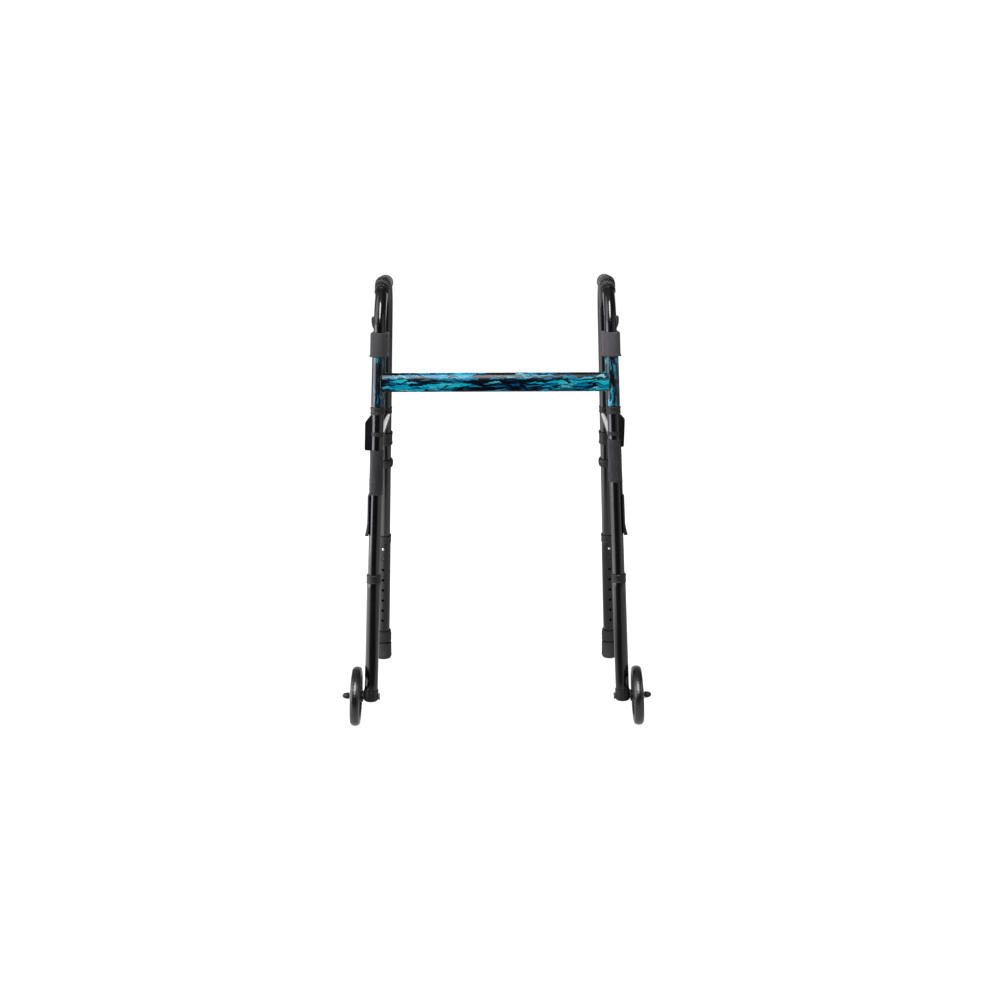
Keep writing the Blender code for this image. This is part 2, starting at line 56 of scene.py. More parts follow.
BRACE_R, BRACE_RI, BRACE_FRONT_W, BRACE_REAR_W = 0.0111, 0.0096, 0.6135, 0.6245
BAND_R, BAND_FRONT_Z, BAND_REAR_Z = 0.0140, (0.6217, 0.6300), (0.6290, 0.6435)
COLLAR_UP_Z, COLLAR_UP_R = (0.5535, 0.5830), 0.0160
COLLAR_LOW_Z, COLLAR_LOW_R = (0.4990, 0.5160), 0.0177
WRAP_R = 0.0138
WRAP_Z = {"left": (0.5232, 0.6142), "right": (0.4976, 0.5931)}
LOWER_R, LOWER_RI = 0.0143, 0.0130
HOLE_PITCH, HOLE_COUNT, HOLE_R, PIN_R, PIN_W = 0.0277, 8, 0.00355, 0.00325, 0.293
FRONT_TOP, FRONT_END, FRONT_COLLAR_Z = 0.3205, 0.0545, (0.3088, 0.3264)
COLLAR_R, SKIRT_R = 0.0155, 0.0146
CAP_Z, CAP_R = (0.0515, 0.0765), 0.0157
REAR_TOP_Z, REAR_COLLAR_Z = 0.3200, (0.3072, 0.3253)
PIN_TURN = math.radians(12)
TYRE_R, TYRE_RI, TYRE_V, WHEEL_W = 0.0620, 0.0492, (0.0215, 0.0415), 0.06090522
HUB_V = (0.0204, 0.0454)
AXLE_R, AXLE_BORE = 0.0040, 0.0043
GLIDE_R, GLIDE_TOP, TIP_R, TIP_TOP, TIP_BOTTOM = 0.0190, 0.0445, 0.0186, 0.0740, 0.0448

SIDES = (("left", 1), ("right", -1))


def rx(a):
    return Matrix.Rotation(a, 4, "X")


def ry(a):
    return Matrix.Rotation(a, 4, "Y")


def rz(a):
    return Matrix.Rotation(a, 4, "Z")


def shift(x, y, z):
    return Matrix.Translation((x, y, z))


def rear_t(z):
    return z / (math.cos(REAR_TILT) * math.cos(LEAN))


M_AXIS = {n: shift(s * AXIS_X, AXIS_Y, 0) @ ry(-s * LEAN) for n, s in SIDES}
M_SIDE = {n: M_AXIS[n] @ rz(-s * SPLAY) for n, s in SIDES}
M_REAR = {n: M_SIDE[n] @ shift(0, REAR_U0, 0) @ rx(REAR_TILT) for n, s in SIDES}
M_WHEEL = {n: M_SIDE[n] @ shift(0, 0, WHEEL_W) @ ry(s * math.pi / 2) for n, s in SIDES}


# ---------------------------------------------------------------- node materials
class Mat:
    """A node material built step by step."""

    def __init__(self, name, rough=0.5, metal=0.0, color=(0.5, 0.5, 0.5)):
        self.m = bpy.data.materials.new(name)
        self.m.use_nodes = True
        self.nt = self.m.node_tree
        self.b = self.nt.nodes["Principled BSDF"]
        self.b.inputs["Roughness"].default_value = rough
        self.b.inputs["Metallic"].default_value = metal
        self.b.inputs["Base Color"].default_value = (*color, 1)
        self.tc = self.nt.nodes.new("ShaderNodeTexCoord")

    def node(self, kind, **inputs):
        n = self.nt.nodes.new(kind)
        for k, v in inputs.items():
            self.put(n.inputs[k.replace("_", " ")], v)
        return n

    def put(self, socket, v):
        if isinstance(v, bpy.types.NodeSocket):
            self.nt.links.new(v, socket)
        elif isinstance(v, tuple) and len(v) == 3 and socket.type == "RGBA":
            socket.default_value = (*v, 1)
        else:
            socket.default_value = v

    def coords(self, scale=(1, 1, 1), rot=(0, 0, 0), loc=(0, 0, 0), kind="Object"):
        n = self.nt.nodes.new("ShaderNodeMapping")
        self.nt.links.new(self.tc.outputs[kind], n.inputs["Vector"])
        n.inputs["Scale"].default_value = scale
        n.inputs["Rotation"].default_value = rot
        n.inputs["Location"].default_value = loc
        return n.outputs[0]

    def noise(self, scale, detail=2.0, rough=0.5, vec=None, distort=0.0):
        n = self.node("ShaderNodeTexNoise", Scale=scale, Detail=detail, Roughness=rough,
                      Distortion=distort)
        self.nt.links.new(vec if vec is not None else self.tc.outputs["Object"],
                          n.inputs["Vector"])
        return n.outputs["Fac"]

    def voronoi(self, scale, vec=None, feature="F1", out="Distance", rnd=1.0):
        n = self.nt.nodes.new("ShaderNodeTexVoronoi")
        n.feature = feature
        n.inputs["Scale"].default_value = scale
        if "Randomness" in n.inputs:
            n.inputs["Randomness"].default_value = rnd
        self.nt.links.new(vec if vec is not None else self.tc.outputs["Object"],
                          n.inputs["Vector"])
        return n.outputs[out]

    def ramp(self, fac, stops, mode="LINEAR"):
        n = self.nt.nodes.new("ShaderNodeValToRGB")
        n.color_ramp.interpolation = mode
        els = n.color_ramp.elements
        while len(els) > 1:
            els.remove(els[-1])
        els[0].position, first = stops[0][0], stops[0][1]
        els[0].color = first if len(first) == 4 else (*first, 1)
        for p, c in stops[1:]:
            e = els.new(p)
            e.color = c if len(c) == 4 else (*c, 1)
        self.nt.links.new(fac, n.inputs["Fac"])
        return n.outputs["Color"]

    def math(self, op, a, b=0.0, c=0.0, clamp=False):
        n = self.nt.nodes.new("ShaderNodeMath")
        n.operation = op
        n.use_clamp = clamp
        for i, v in enumerate((a, b, c)):
            if i < len(n.inputs):
                self.put(n.inputs[i], v)
        return n.outputs[0]

    def remap(self, v, lo, hi, out_lo, out_hi):
        n = self.nt.nodes.new("ShaderNodeMapRange")
        n.clamp = True
        self.put(n.inputs["Value"], v)
        for k, x in (("From Min", lo), ("From Max", hi), ("To Min", out_lo), ("To Max", out_hi)):
            n.inputs[k].default_value = x
        return n.outputs["Result"]

    def mix(self, fac, a, b, mode="MIX"):
        n = self.nt.nodes.new("ShaderNodeMix")
        n.data_type = "RGBA"
        n.blend_type = mode
        n.clamp_factor = True
        self.put(n.inputs["Factor"], fac)
        for sock, v in ((n.inputs[6], a), (n.inputs[7], b)):
            if isinstance(v, bpy.types.NodeSocket):
                self.nt.links.new(v, sock)
            else:
                sock.default_value = (*v, 1)
        return n.outputs[2]

    def split(self, vec):
        n = self.nt.nodes.new("ShaderNodeSeparateXYZ")
        self.nt.links.new(vec, n.inputs[0])
        return n.outputs

    def color(self, v):
        self.put(self.b.inputs["Base Color"], v)

    def rough(self, v):
        self.put(self.b.inputs["Roughness"], v)

    def bump(self, height, dist, strength=1.0, normal=None):
        n = self.nt.nodes.new("ShaderNodeBump")
        n.inputs["Strength"].default_value = strength
        n.inputs["Distance"].default_value = dist
        self.nt.links.new(height, n.inputs["Height"])
        if normal is not None:
            self.nt.links.new(normal, n.inputs["Normal"])
        self.nt.links.new(n.outputs[0], self.b.inputs["Normal"])
        return n.outputs[0]


def scuffs(m, along=2, amount=0.5):
    """Fine handling scratches that run along one axis of the piece; 0 to 1."""
    scale = [260.0, 260.0, 260.0]
    scale[along] = 9.0
    fine = m.noise(1.0, 3.0, 0.6, m.coords(tuple(scale)))
    patches = m.noise(14.0, 2.0)
    lines = m.remap(fine, 0.64, 0.74, 0.0, 1.0)
    where = m.remap(patches, 0.50, 0.68, 0.0, 1.0)
    return m.math("MULTIPLY", m.math("MULTIPLY", lines, where), amount)


def gloss_black(name, along=2, base=(0.0020, 0.0020, 0.0027), coat=0.5, spec=0.5):
    """Black powder coat: deep gloss, faint orange peel, dust and hairline scuffs."""
    m = Mat(name)
    cloud = m.noise(9.0, 3.0, 0.6)
    marks = scuffs(m, along, 0.6)
    dust = m.remap(m.noise(420.0, 3.0, 0.7), 0.66, 0.80, 0.0, 0.35)
    col = m.mix(m.remap(cloud, 0.3, 0.7, 0.0, 1.0), base,
                tuple(c * 1.7 + 0.001 for c in base))
    col = m.mix(marks, col, (0.030, 0.030, 0.033))
    col = m.mix(dust, col, (0.020, 0.020, 0.021))
    m.color(col)
    r = m.math("ADD", m.remap(cloud, 0.3, 0.7, 0.17, 0.27),
               m.math("ADD", m.math("MULTIPLY", marks, 0.30),
                      m.math("MULTIPLY", dust, 0.25)), clamp=True)
    m.rough(r)
    first = m.bump(m.noise(620.0, 2.0, 0.5), 0.00006, 0.12)
    m.bump(m.noise(60.0, 2.0, 0.5), 0.0003, 0.05, first)
    m.b.inputs["Specular IOR Level"].default_value = spec
    m.b.inputs["Coat Weight"].default_value = coat
    m.b.inputs["Coat Roughness"].default_value = 0.07
    return m.m


def printed(name, long_axis, seed, dense, coat):
    """Clear-coated black with a made-up print: slanted shards of cyan and teal that gather
    in drifts, over fine streaks; dense adds to the drifts."""
    m = Mat(name)
    # slanted, stretched cells; each cell takes one flat colour
    wob = m.noise(55.0, 3.0, 0.65, m.coords(loc=(seed, 0, 0)))
    base = m.coords(loc=(seed * 0.37, seed * 0.11, seed * 0.23))
    lift = m.node("ShaderNodeVectorMath")
    lift.operation = "MULTIPLY_ADD"
    m.nt.links.new(base, lift.inputs[0])
    lift.inputs[1].default_value = (1, 1, 1)
    comb = m.nt.nodes.new("ShaderNodeCombineXYZ")
    w2 = m.math("MULTIPLY", m.math("SUBTRACT", wob, 0.5), 0.012)
    if long_axis == "x":
        m.put(comb.inputs[2], w2)
        m.put(comb.inputs[0], m.math("MULTIPLY", w2, 1.6))
    else:
        m.put(comb.inputs[0], w2)
        m.put(comb.inputs[2], m.math("MULTIPLY", w2, 1.6))
    m.nt.links.new(comb.outputs[0], lift.inputs[2])
    bent = lift.outputs[0]

    def mapped(scale, rot):
        n = m.nt.nodes.new("ShaderNodeMapping")
        n.inputs["Rotation"].default_value = rot
        n.inputs["Scale"].default_value = scale
        m.nt.links.new(bent, n.inputs["Vector"])
        return n.outputs[0]

    if long_axis == "x":
        shard_v = mapped((19, 60, 135), (0, math.radians(14), 0))
        fine_v = mapped((40, 120, 430), (0, math.radians(-6), 0))
        slash_v = mapped((28, 90, 240), (0, math.radians(-17), 0))
    else:
        shard_v = mapped((170, 170, 34), (0, math.radians(14), 0))
        fine_v = mapped((420, 420, 62), (0, math.radians(-6), 0))
        slash_v = mapped((260, 260, 50), (0, math.radians(20), 0))
    drift = m.noise(1.0, 2.0, 0.5, m.coords((7.5, 7.5, 7.5) if long_axis == "x"
                                            else (16, 16, 11), loc=(seed, 2.0, 1.0)))
    pick = m.split(m.voronoi(1.0, shard_v, "F1", "Color"))[0]
    edge = m.voronoi(1.0, shard_v, "DISTANCE_TO_EDGE", "Distance")
    body = m.remap(edge, 0.035, 0.075, 0.0, 1.0)
    # brighter shards where the drift is strong
    level = m.math("ADD", m.math("MULTIPLY", pick, 0.62),
                   m.math("MULTIPLY_ADD", m.math("SUBTRACT", drift, 0.5), 2.5, dense),
                   clamp=True)
    shards = m.ramp(level, [(0.0, (0.0004, 0.0040, 0.0110)), (0.20, (0.0010, 0.030, 0.080)),
                            (0.30, (0.0004, 0.0050, 0.0140)), (0.40, (0.001, 0.120, 0.260)),
                            (0.48, (0.0006, 0.0080, 0.0200)), (0.56, (0.002, 0.330, 0.600)),
                            (0.68, (0.004, 0.600, 0.880)), (0.84, (0.012, 0.780, 0.930)),
                            (0.95, (0.320, 0.900, 0.950))],
                    "CONSTANT")
    col = m.mix(body, (0.0006, 0.0050, 0.0130), shards)
    # dark slashes that cut the shards
    cut = m.split(m.voronoi(1.0, slash_v, "F1", "Color"))[1]
    cut = m.remap(m.math("SUBTRACT", cut, m.math("MULTIPLY", drift, 0.35)), 0.46, 0.50, 0.0, 0.92)
    col = m.mix(cut, col, (0.0006, 0.0045, 0.0130))
    # fine bright streaks over everything
    fine = m.split(m.voronoi(1.0, fine_v, "F1", "Color"))[2]
    fine_on = m.math("MULTIPLY", m.remap(fine, 0.80, 0.82, 0.0, 1.0),
                     m.remap(m.math("ADD", drift, dense * 0.4), 0.38, 0.54, 0.04, 0.95))
    hue = m.ramp(m.split(m.voronoi(1.0, fine_v, "F1", "Color"))[0],
                 [(0.0, (0.002, 0.260, 0.500)), (0.40, (0.006, 0.580, 0.880)),
                  (0.80, (0.180, 0.840, 0.920))], "CONSTANT")
    col = m.mix(fine_on, col, hue)
    # printed dots of the film show as a faint grain
    grain = m.remap(m.noise(1600.0, 1.0), 0.3, 0.7, 0.86, 1.10)
    g = m.nt.nodes.new("ShaderNodeVectorMath")
    g.operation = "SCALE"
    m.nt.links.new(col, g.inputs[0])
    m.nt.links.new(grain, g.inputs["Scale"])
    m.color(g.outputs[0])
    marks = scuffs(m, 0 if long_axis == "x" else 2, 0.5)
    m.rough(m.math("ADD", m.remap(m.noise(10.0), 0.3, 0.7, 0.24, 0.32),
                   m.math("MULTIPLY", marks, 0.3)))
    m.bump(m.noise(520.0, 2.0), 0.00005, 0.3)
    m.b.inputs["Specular IOR Level"].default_value = 0.12 + 0.5 * coat
    m.b.inputs["Coat Weight"].default_value = coat
    m.b.inputs["Coat Roughness"].default_value = 0.10
    return m.m


def matte_plastic(name, base=(0.083, 0.078, 0.086), rough=0.62, grain=900.0):
    """Moulded plastic with a sand-blast texture, faint sheen streaks and rubbed spots."""
    m = Mat(name)
    cloud = m.noise(24.0, 4.0, 0.6)
    speck = m.noise(grain, 3.0, 0.65)
    col = m.mix(m.remap(cloud, 0.32, 0.68, 0.0, 1.0), tuple(c * 0.82 for c in base),
                tuple(c * 1.16 for c in base))
    col = m.mix(m.remap(speck, 0.35, 0.65, 0.0, 0.5), col, tuple(c * 0.6 for c in base))
    m.color(col)
    rub = m.remap(m.noise(38.0, 3.0, 0.6), 0.58, 0.72, 0.0, 1.0)
    m.rough(m.math("SUBTRACT", m.remap(speck, 0.3, 0.7, rough - 0.05, rough + 0.12),
                   m.math("MULTIPLY", rub, 0.12)))
    first = m.bump(speck, 0.00012, 0.6)
    m.bump(m.voronoi(grain * 0.55), 0.00010, 0.35, first)
    return m.m


def black_plastic(name, base=(0.013, 0.013, 0.014), sheen=0.5, bloom_and_painted_top_light=0.0):
    """Satin black moulding, a little greyed where it is handled; the last argument greys its upward
    slopes as painted top light.
    """
    m = Mat(name)
    cloud = m.noise(32.0, 3.0, 0.6)
    speck = m.noise(1100.0, 2.0, 0.6)
    col = m.mix(m.remap(cloud, 0.35, 0.7, 0.0, 1.0), base, tuple(c * 2.0 for c in base))
    col = m.mix(scuffs(m, 2, 0.5), col, tuple(c * 2.0 + 0.024 * sheen * 2 for c in base))
    if bloom_and_painted_top_light:
        # upward-facing slopes painted lighter grey: painted top light
        slope = m.remap(m.split(m.tc.outputs["Normal"])[2], 0.30, 0.52, 0.0, bloom_and_painted_top_light)
        col = m.mix(m.math("MULTIPLY", slope, m.remap(cloud, 0.3, 0.6, 0.7, 1.0)), col,
                    (0.062, 0.060, 0.062))
    m.color(col)
    m.b.inputs["Specular IOR Level"].default_value = sheen
    m.rough(m.remap(cloud, 0.3, 0.7, 0.34, 0.50))
    first = m.bump(speck, 0.00008, 0.35)
    m.bump(m.noise(150.0, 2.0), 0.00015, 0.12, first)
    return m.m


def rubber(name, base=(0.040, 0.040, 0.042), rough=0.72, bloom_and_painted_top_light=0.6, sheen=0.5, grain=0.5):
    """Moulded rubber: fine grain, chalky bloom in patches, darker pores."""
    m = Mat(name)
    cloud = m.noise(30.0, 4.0, 0.65)
    pore = m.voronoi(1300.0)
    col = m.mix(m.remap(cloud, 0.35, 0.68, 0.0, bloom_and_painted_top_light), base,
                tuple(c * 1.9 + 0.004 for c in base))
    col = m.mix(m.remap(pore, 0.0, 0.25, 0.5, 0.0), col, tuple(c * 0.45 for c in base))
    m.color(col)
    m.rough(m.remap(cloud, 0.3, 0.7, rough - 0.10, rough + 0.10))
    m.b.inputs["Specular IOR Level"].default_value = sheen
    first = m.bump(m.noise(1500.0, 3.0, 0.7), 0.00012, grain)
    m.bump(m.noise(90.0, 3.0), 0.0004, 0.15, first)
    return m.m


def glide_rubber(name):
    """The glide cup's rubber; its neck, in the gap below the tip, is painted near black as painted
    shadow.
    """
    m = Mat(name)
    cloud = m.noise(30.0, 4.0, 0.65)
    z = m.split(m.tc.outputs["Object"])[2]
    col = m.mix(m.remap(cloud, 0.35, 0.68, 0.0, 1.0), (0.021, 0.0215, 0.022),
                (0.032, 0.0325, 0.033))
    # the neck band below the tip: painted shadow, near black
    neck = m.remap(z, GLIDE_TOP - 0.0046, GLIDE_TOP - 0.0040, 0.0, 1.0)
    m.color(m.mix(neck, col, (0.0008, 0.0008, 0.0008)))
    m.rough(m.math("ADD", m.remap(cloud, 0.3, 0.7, 0.52, 0.66), m.math("MULTIPLY", neck, 0.3),
                   clamp=True))
    first = m.bump(m.noise(1500.0, 3.0, 0.7), 0.00012, 0.5)
    m.bump(m.noise(90.0, 3.0), 0.0004, 0.15, first)
    return m.m


def steel(name):
    """Bright plated steel with fine turning marks."""
    m = Mat(name, 0.2, 1.0)
    cloud = m.noise(180.0, 3.0, 0.6)
    m.color(m.mix(m.remap(cloud, 0.3, 0.7, 0.0, 1.0), (0.62, 0.61, 0.60), (0.82, 0.81, 0.79)))
    m.rough(m.remap(m.noise(1.0, 2.0, 0.5, m.coords((300, 300, 5000))), 0.3, 0.7, 0.14, 0.30))
    m.bump(m.noise(1.0, 1.0, 0.5, m.coords((200, 200, 6000))), 0.00003, 0.4)
    return m.m


def woven(name, base=(0.070, 0.066, 0.073), pitch=0.0011, fuzz=1.0):
    """Coarse woven webbing or wrap; the weave follows the piece's own map, in metres."""
    m = Mat(name, 0.92)
    uv = m.coords(kind="UV")
    jitter = m.noise(260.0, 2.0, 0.6)
    x, y, _ = m.split(uv)
    k = 2 * math.pi / pitch
    wob = m.math("MULTIPLY", m.math("SUBTRACT", jitter, 0.5), 1.6)
    ax = m.math("ADD", m.math("MULTIPLY", x, k), wob)
    ay = m.math("ADD", m.math("MULTIPLY", y, k * 1.15), wob)
    warp = m.math("MULTIPLY_ADD", m.math("SINE", ax), 0.5, 0.5)
    weft = m.math("MULTIPLY_ADD", m.math("SINE", ay), 0.5, 0.5)
    # over and under: half the crossings show the warp, half the weft
    over = m.math("MULTIPLY_ADD", m.math("SINE", m.math("MULTIPLY", ax, 0.5)), 0.5, 0.5)
    over2 = m.math("MULTIPLY_ADD", m.math("SINE", m.math("MULTIPLY", ay, 0.5)), 0.5, 0.5)
    sel = m.math("ABSOLUTE", m.math("SUBTRACT", over, over2))
    height = m.math("ADD", m.math("MULTIPLY", warp, sel),
                    m.math("MULTIPLY", weft, m.math("SUBTRACT", 1.0, sel)))
    fluff = m.noise(2400.0, 3.0, 0.75)
    # darker where the weave is low: painted shade between the threads
    col = m.mix(m.remap(height, 0.1, 0.9, 0.0, 1.0), tuple(c * 0.45 for c in base),
                tuple(c * 1.35 for c in base))
    col = m.mix(m.remap(fluff, 0.40, 0.75, 0.0, 0.45 * fuzz), col,
                tuple(c * 2.1 for c in base))
    col = m.mix(m.remap(m.noise(34.0, 3.0, 0.6), 0.4, 0.7, 0.0, 0.35), col,
                tuple(c * 0.7 for c in base))
    m.color(col)
    m.rough(m.remap(fluff, 0.3, 0.7, 0.85, 1.0))
    first = m.bump(height, 0.00035, 0.8)
    m.bump(fluff, 0.00020, 0.45 * fuzz, first)
    m.b.inputs["Sheen Weight"].default_value = 0.25
    m.b.inputs["Sheen Roughness"].default_value = 0.5
    m.b.inputs["Specular IOR Level"].default_value = 0.25
    return m.m


def thread(name, base=(0.11, 0.105, 0.115)):
    m = Mat(name, 0.8)
    twist = m.noise(1.0, 2.0, 0.5, m.coords((1800, 1800, 1800)))
    m.color(m.mix(twist, tuple(c * 0.6 for c in base), tuple(c * 1.5 for c in base)))
    m.bump(twist, 0.00008, 0.6)
    return m.m


def grip_vinyl(name):
    """Soft moulded grip: black, with knob tops painted lighter, partly wear and partly painted
    highlight, pebble dips painted darker as painted shade, and a polished, pebbled palm."""
    m = Mat(name, 0.6)
    pebble = m.voronoi(620.0)
    cloud = m.noise(26.0, 4.0, 0.65)
    patch = m.noise(75.0, 3.0, 0.6)
    base = (0.009, 0.0088, 0.0085)
    col = m.mix(m.remap(cloud, 0.35, 0.68, 0.0, 1.0), tuple(c * 0.70 for c in base),
                tuple(c * 1.50 for c in base))
    # darker in the pebbles' low rims: painted shade
    col = m.mix(m.remap(pebble, 0.30, 0.62, 0.0, 0.75), col, (0.005, 0.005, 0.005))
    knob = m.nt.nodes.new("ShaderNodeAttribute")
    knob.attribute_name = "knob"
    top = m.remap(knob.outputs["Fac"], 0.42, 0.80, 0.0, 1.0)
    # knob tops lighter: painted highlight on the knobs, with some wear
    knob_wear_and_highlight = m.math("MULTIPLY", top, m.remap(patch, 0.36, 0.56, 0.45, 1.0))
    col = m.mix(knob_wear_and_highlight, col, (0.27, 0.265, 0.25))
    m.b.inputs["Specular IOR Level"].default_value = 0.28
    m.color(col)
    m.rough(m.math("SUBTRACT", m.remap(cloud, 0.3, 0.7, 0.40, 0.52),
                   m.math("MULTIPLY", top, 0.12)))
    first = m.bump(m.math("SUBTRACT", 1.0, pebble), 0.00030, 0.55)
    m.bump(m.noise(1700.0, 3.0, 0.7), 0.00010, 0.4, first)
    return m.m


MATS = {
    "tube": gloss_black("tube_black_gloss"),
    "tube_low": gloss_black("lower_leg_black_gloss", base=(0.0022, 0.0022, 0.0028), coat=0.35),
    "bar": printed("crossbar_print", "x", 5.2, 0.22, 0.10),
    "sleeve_left": printed("sleeve_print_left", "z", 1.3, 0.10, 0.45),
    "sleeve_right": printed("sleeve_print_right", "z", 6.1, -0.42, 0.6),
    "matte": matte_plastic("housing_matte_grey"),
    "collar": matte_plastic("collar_matte_black", (0.013, 0.0125, 0.0135), 0.50, 1000.0),
    "tube_rear": gloss_black("rear_leg_black_satin", base=(0.0050, 0.0050, 0.0056), coat=0.10,
                             spec=0.38),
    "bracket": black_plastic("bracket_black", (0.0016, 0.0016, 0.0018), 0.20, 0.8),
    "plastic": black_plastic("fitting_black_satin", (0.007, 0.007, 0.0075)),
    "rubber": rubber("foot_rubber", (0.012, 0.012, 0.0125)),
    "glide": glide_rubber("glide_rubber"),
    "tyre": rubber("tyre_rubber", (0.0050, 0.0052, 0.0055), 0.28, 0.30, 0.85, 0.28),
    "hub": black_plastic("wheel_hub_black", (0.016, 0.016, 0.017)),
    "steel": steel("plated_steel"),
    "bolt": black_plastic("axle_bolt_black_oxide", (0.010, 0.010, 0.011)),
    "wrap": woven("wrap_weave", (0.052, 0.049, 0.055)),
    "strap": woven("strap_webbing", (0.007, 0.007, 0.0075), 0.0014, 0.4),
    "thread": thread("stitching_thread"),
    "grip": grip_vinyl("grip_vinyl"),
}


# ---------------------------------------------------------------- mesh building
def grid(rows, cols, wrap_cols=True, wrap_rows=False, start=0, flip=False):
    """Quads between rows of points; each row has cols points."""
    out = []
    for i in range(rows if wrap_rows else rows - 1):
        i2 = (i + 1) % rows
        for j in range(cols if wrap_cols else cols - 1):
            j2 = (j + 1) % cols
            q = (start + i * cols + j, start + i * cols + j2,
                 start + i2 * cols + j2, start + i2 * cols + j)
            out.append(q[::-1] if flip else q)
    return out


class Piece:
    """Collects verts, faces and a map in metres."""

    def __init__(self):
        self.v, self.f, self.uv = [], [], []

    def rows(self, rows, maps, wrap_cols=True, wrap_rows=False, flip=False):
        start = len(self.v)
        cols = len(rows[0])
        for row, mp in zip(rows, maps):
            self.v.extend(tuple(p) for p in row)
            self.uv.extend(mp)
        self.f.extend(grid(len(rows), cols, wrap_cols, wrap_rows, start, flip))
        return start, cols

    def cap(self, start, cols, centre, flip=False):
        """Fan cap on one row."""
        c = len(self.v)
        self.v.append(tuple(centre))
        self.uv.append((0.0, 0.0))
        for j in range(cols):
            t = (start + j, start + (j + 1) % cols, c)
            self.f.append(t[::-1] if flip else t)

    def mesh(self, name):
        me = bpy.data.meshes.new(name)
        me.from_pydata(self.v, [], self.f)
        layer = me.uv_layers.new(name="UVMap")
        uv = np.array(self.uv, dtype=np.float32)
        idx = np.zeros(len(me.loops), dtype=np.int32)
        me.loops.foreach_get("vertex_index", idx)
        layer.data.foreach_set("uv", uv[idx].ravel())
        bm = bmesh.new()
        bm.from_mesh(me)
        bmesh.ops.recalc_face_normals(bm, faces=bm.faces)
        bm.to_mesh(me)
        bm.free()
        me.update()
        return me


def add(name, me, mat, matrix=None, sharp=35):
    ob = bpy.data.objects.new(name, me)
    bpy.context.scene.collection.objects.link(ob)
    if matrix is not None:
        ob.matrix_world = matrix
    me.materials.clear()
    me.materials.append(mat)
    if sharp is not None:
        me.shade_smooth()
        me.set_sharp_from_angle(angle=math.radians(sharp))
    bpy.context.view_layer.update()
    return ob


def finish_piece(ob, body, nodes=()):
    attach(ob, body)
    if nodes:
        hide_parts(*nodes)
    return ob


def carve(ob, cutters, sharp=35, weld=True):
    """Cuts temporary solids out of ob and removes them."""
    for c in cutters:
        m = ob.modifiers.new("cut", "BOOLEAN")
        m.operation = "DIFFERENCE"
        m.solver = "EXACT"
        m.object = c
    bpy.context.view_layer.update()
    dg = bpy.context.evaluated_depsgraph_get()
    me = bpy.data.meshes.new_from_object(ob.evaluated_get(dg), preserve_all_data_layers=True,
                                         depsgraph=dg)
    ob.modifiers.clear()
    mats = [m for m in ob.data.materials]
    ob.data = me
    me.materials.clear()
    for m in mats:
        me.materials.append(m)
    for p in me.polygons:
        p.material_index = 0
    if sharp is not None:
        me.shade_smooth()
        me.set_sharp_from_angle(angle=math.radians(sharp))
    for c in cutters:
        bpy.data.objects.remove(c, do_unlink=True)
    bpy.context.view_layer.update()
    return ob


def lathe_piece(profile, steps, closed=True, ripple=None):
    """Turned shape about Z from (radius, height) pairs.

    ripple(angle, k) gives an offset in radius for profile point k."""
    p = Piece()
    ang = [2 * math.pi * j / steps for j in range(steps)]
    prof = list(profile)
    head = tail = None
    if not closed:
        if prof[0][0] < 1e-9:
            head = prof.pop(0)
        if prof[-1][0] < 1e-9:
            tail = prof.pop()
    rows, maps = [], []
    run = 0.0
    for k, (r, h) in enumerate(prof):
        if k:
            run += math.hypot(r - prof[k - 1][0], h - prof[k - 1][1])
        row, mp = [], []
        for j, a in enumerate(ang):
            rr = r + (ripple(a, k) if ripple else 0.0)
            row.append((rr * math.cos(a), rr * math.sin(a), h))
            mp.append((a * r, run))
        rows.append(row)
        maps.append(mp)
    start, cols = p.rows(rows, maps, True, closed)
    if head is not None:
        p.cap(start, cols, (0, 0, head[1]))
    if tail is not None:
        p.cap(start + (len(rows) - 1) * cols, cols, (0, 0, tail[1]), True)
    return p


def fillet(points, radii, n=4):
    """Rounds the corners of an open or closed polyline of 2D points."""
    out = []
    m = len(points)
    for i, (pt, r) in enumerate(zip(points, radii)):
        if r <= 0:
            out.append(tuple(pt))
            continue
        a = np.array(points[(i - 1) % m], float)
        b = np.array(pt, float)
        c = np.array(points[(i + 1) % m], float)
        u, v = a - b, c - b
        lu, lv = np.linalg.norm(u), np.linalg.norm(v)
        u, v = u / lu, v / lv
        ang = math.acos(max(-1, min(1, float(u @ v))))
        d = min(r / math.tan(ang / 2), lu * 0.48, lv * 0.48)
        rr = d * math.tan(ang / 2)
        centre = b + (u + v) / np.linalg.norm(u + v) * (rr / math.sin(ang / 2))
        p0, p1 = b + u * d, b + v * d
        a0 = math.atan2(*(p0 - centre)[::-1])
        a1 = math.atan2(*(p1 - centre)[::-1])
        da = (a1 - a0 + math.pi) % (2 * math.pi) - math.pi
        for k in range(n + 1):
            t = a0 + da * k / n
            out.append((centre[0] + rr * math.cos(t), centre[1] + rr * math.sin(t)))
    return out


def ring(ro, ri, z0, z1, r_edge=0.0005, n=4):
    """Closed profile of a ring with rounded edges."""
    inner = min(r_edge * 0.5, (ro - ri) * 0.2)
    return fillet([(ri, z1), (ro, z1), (ro, z0), (ri, z0)],
                  [inner, r_edge, r_edge, inner], n)


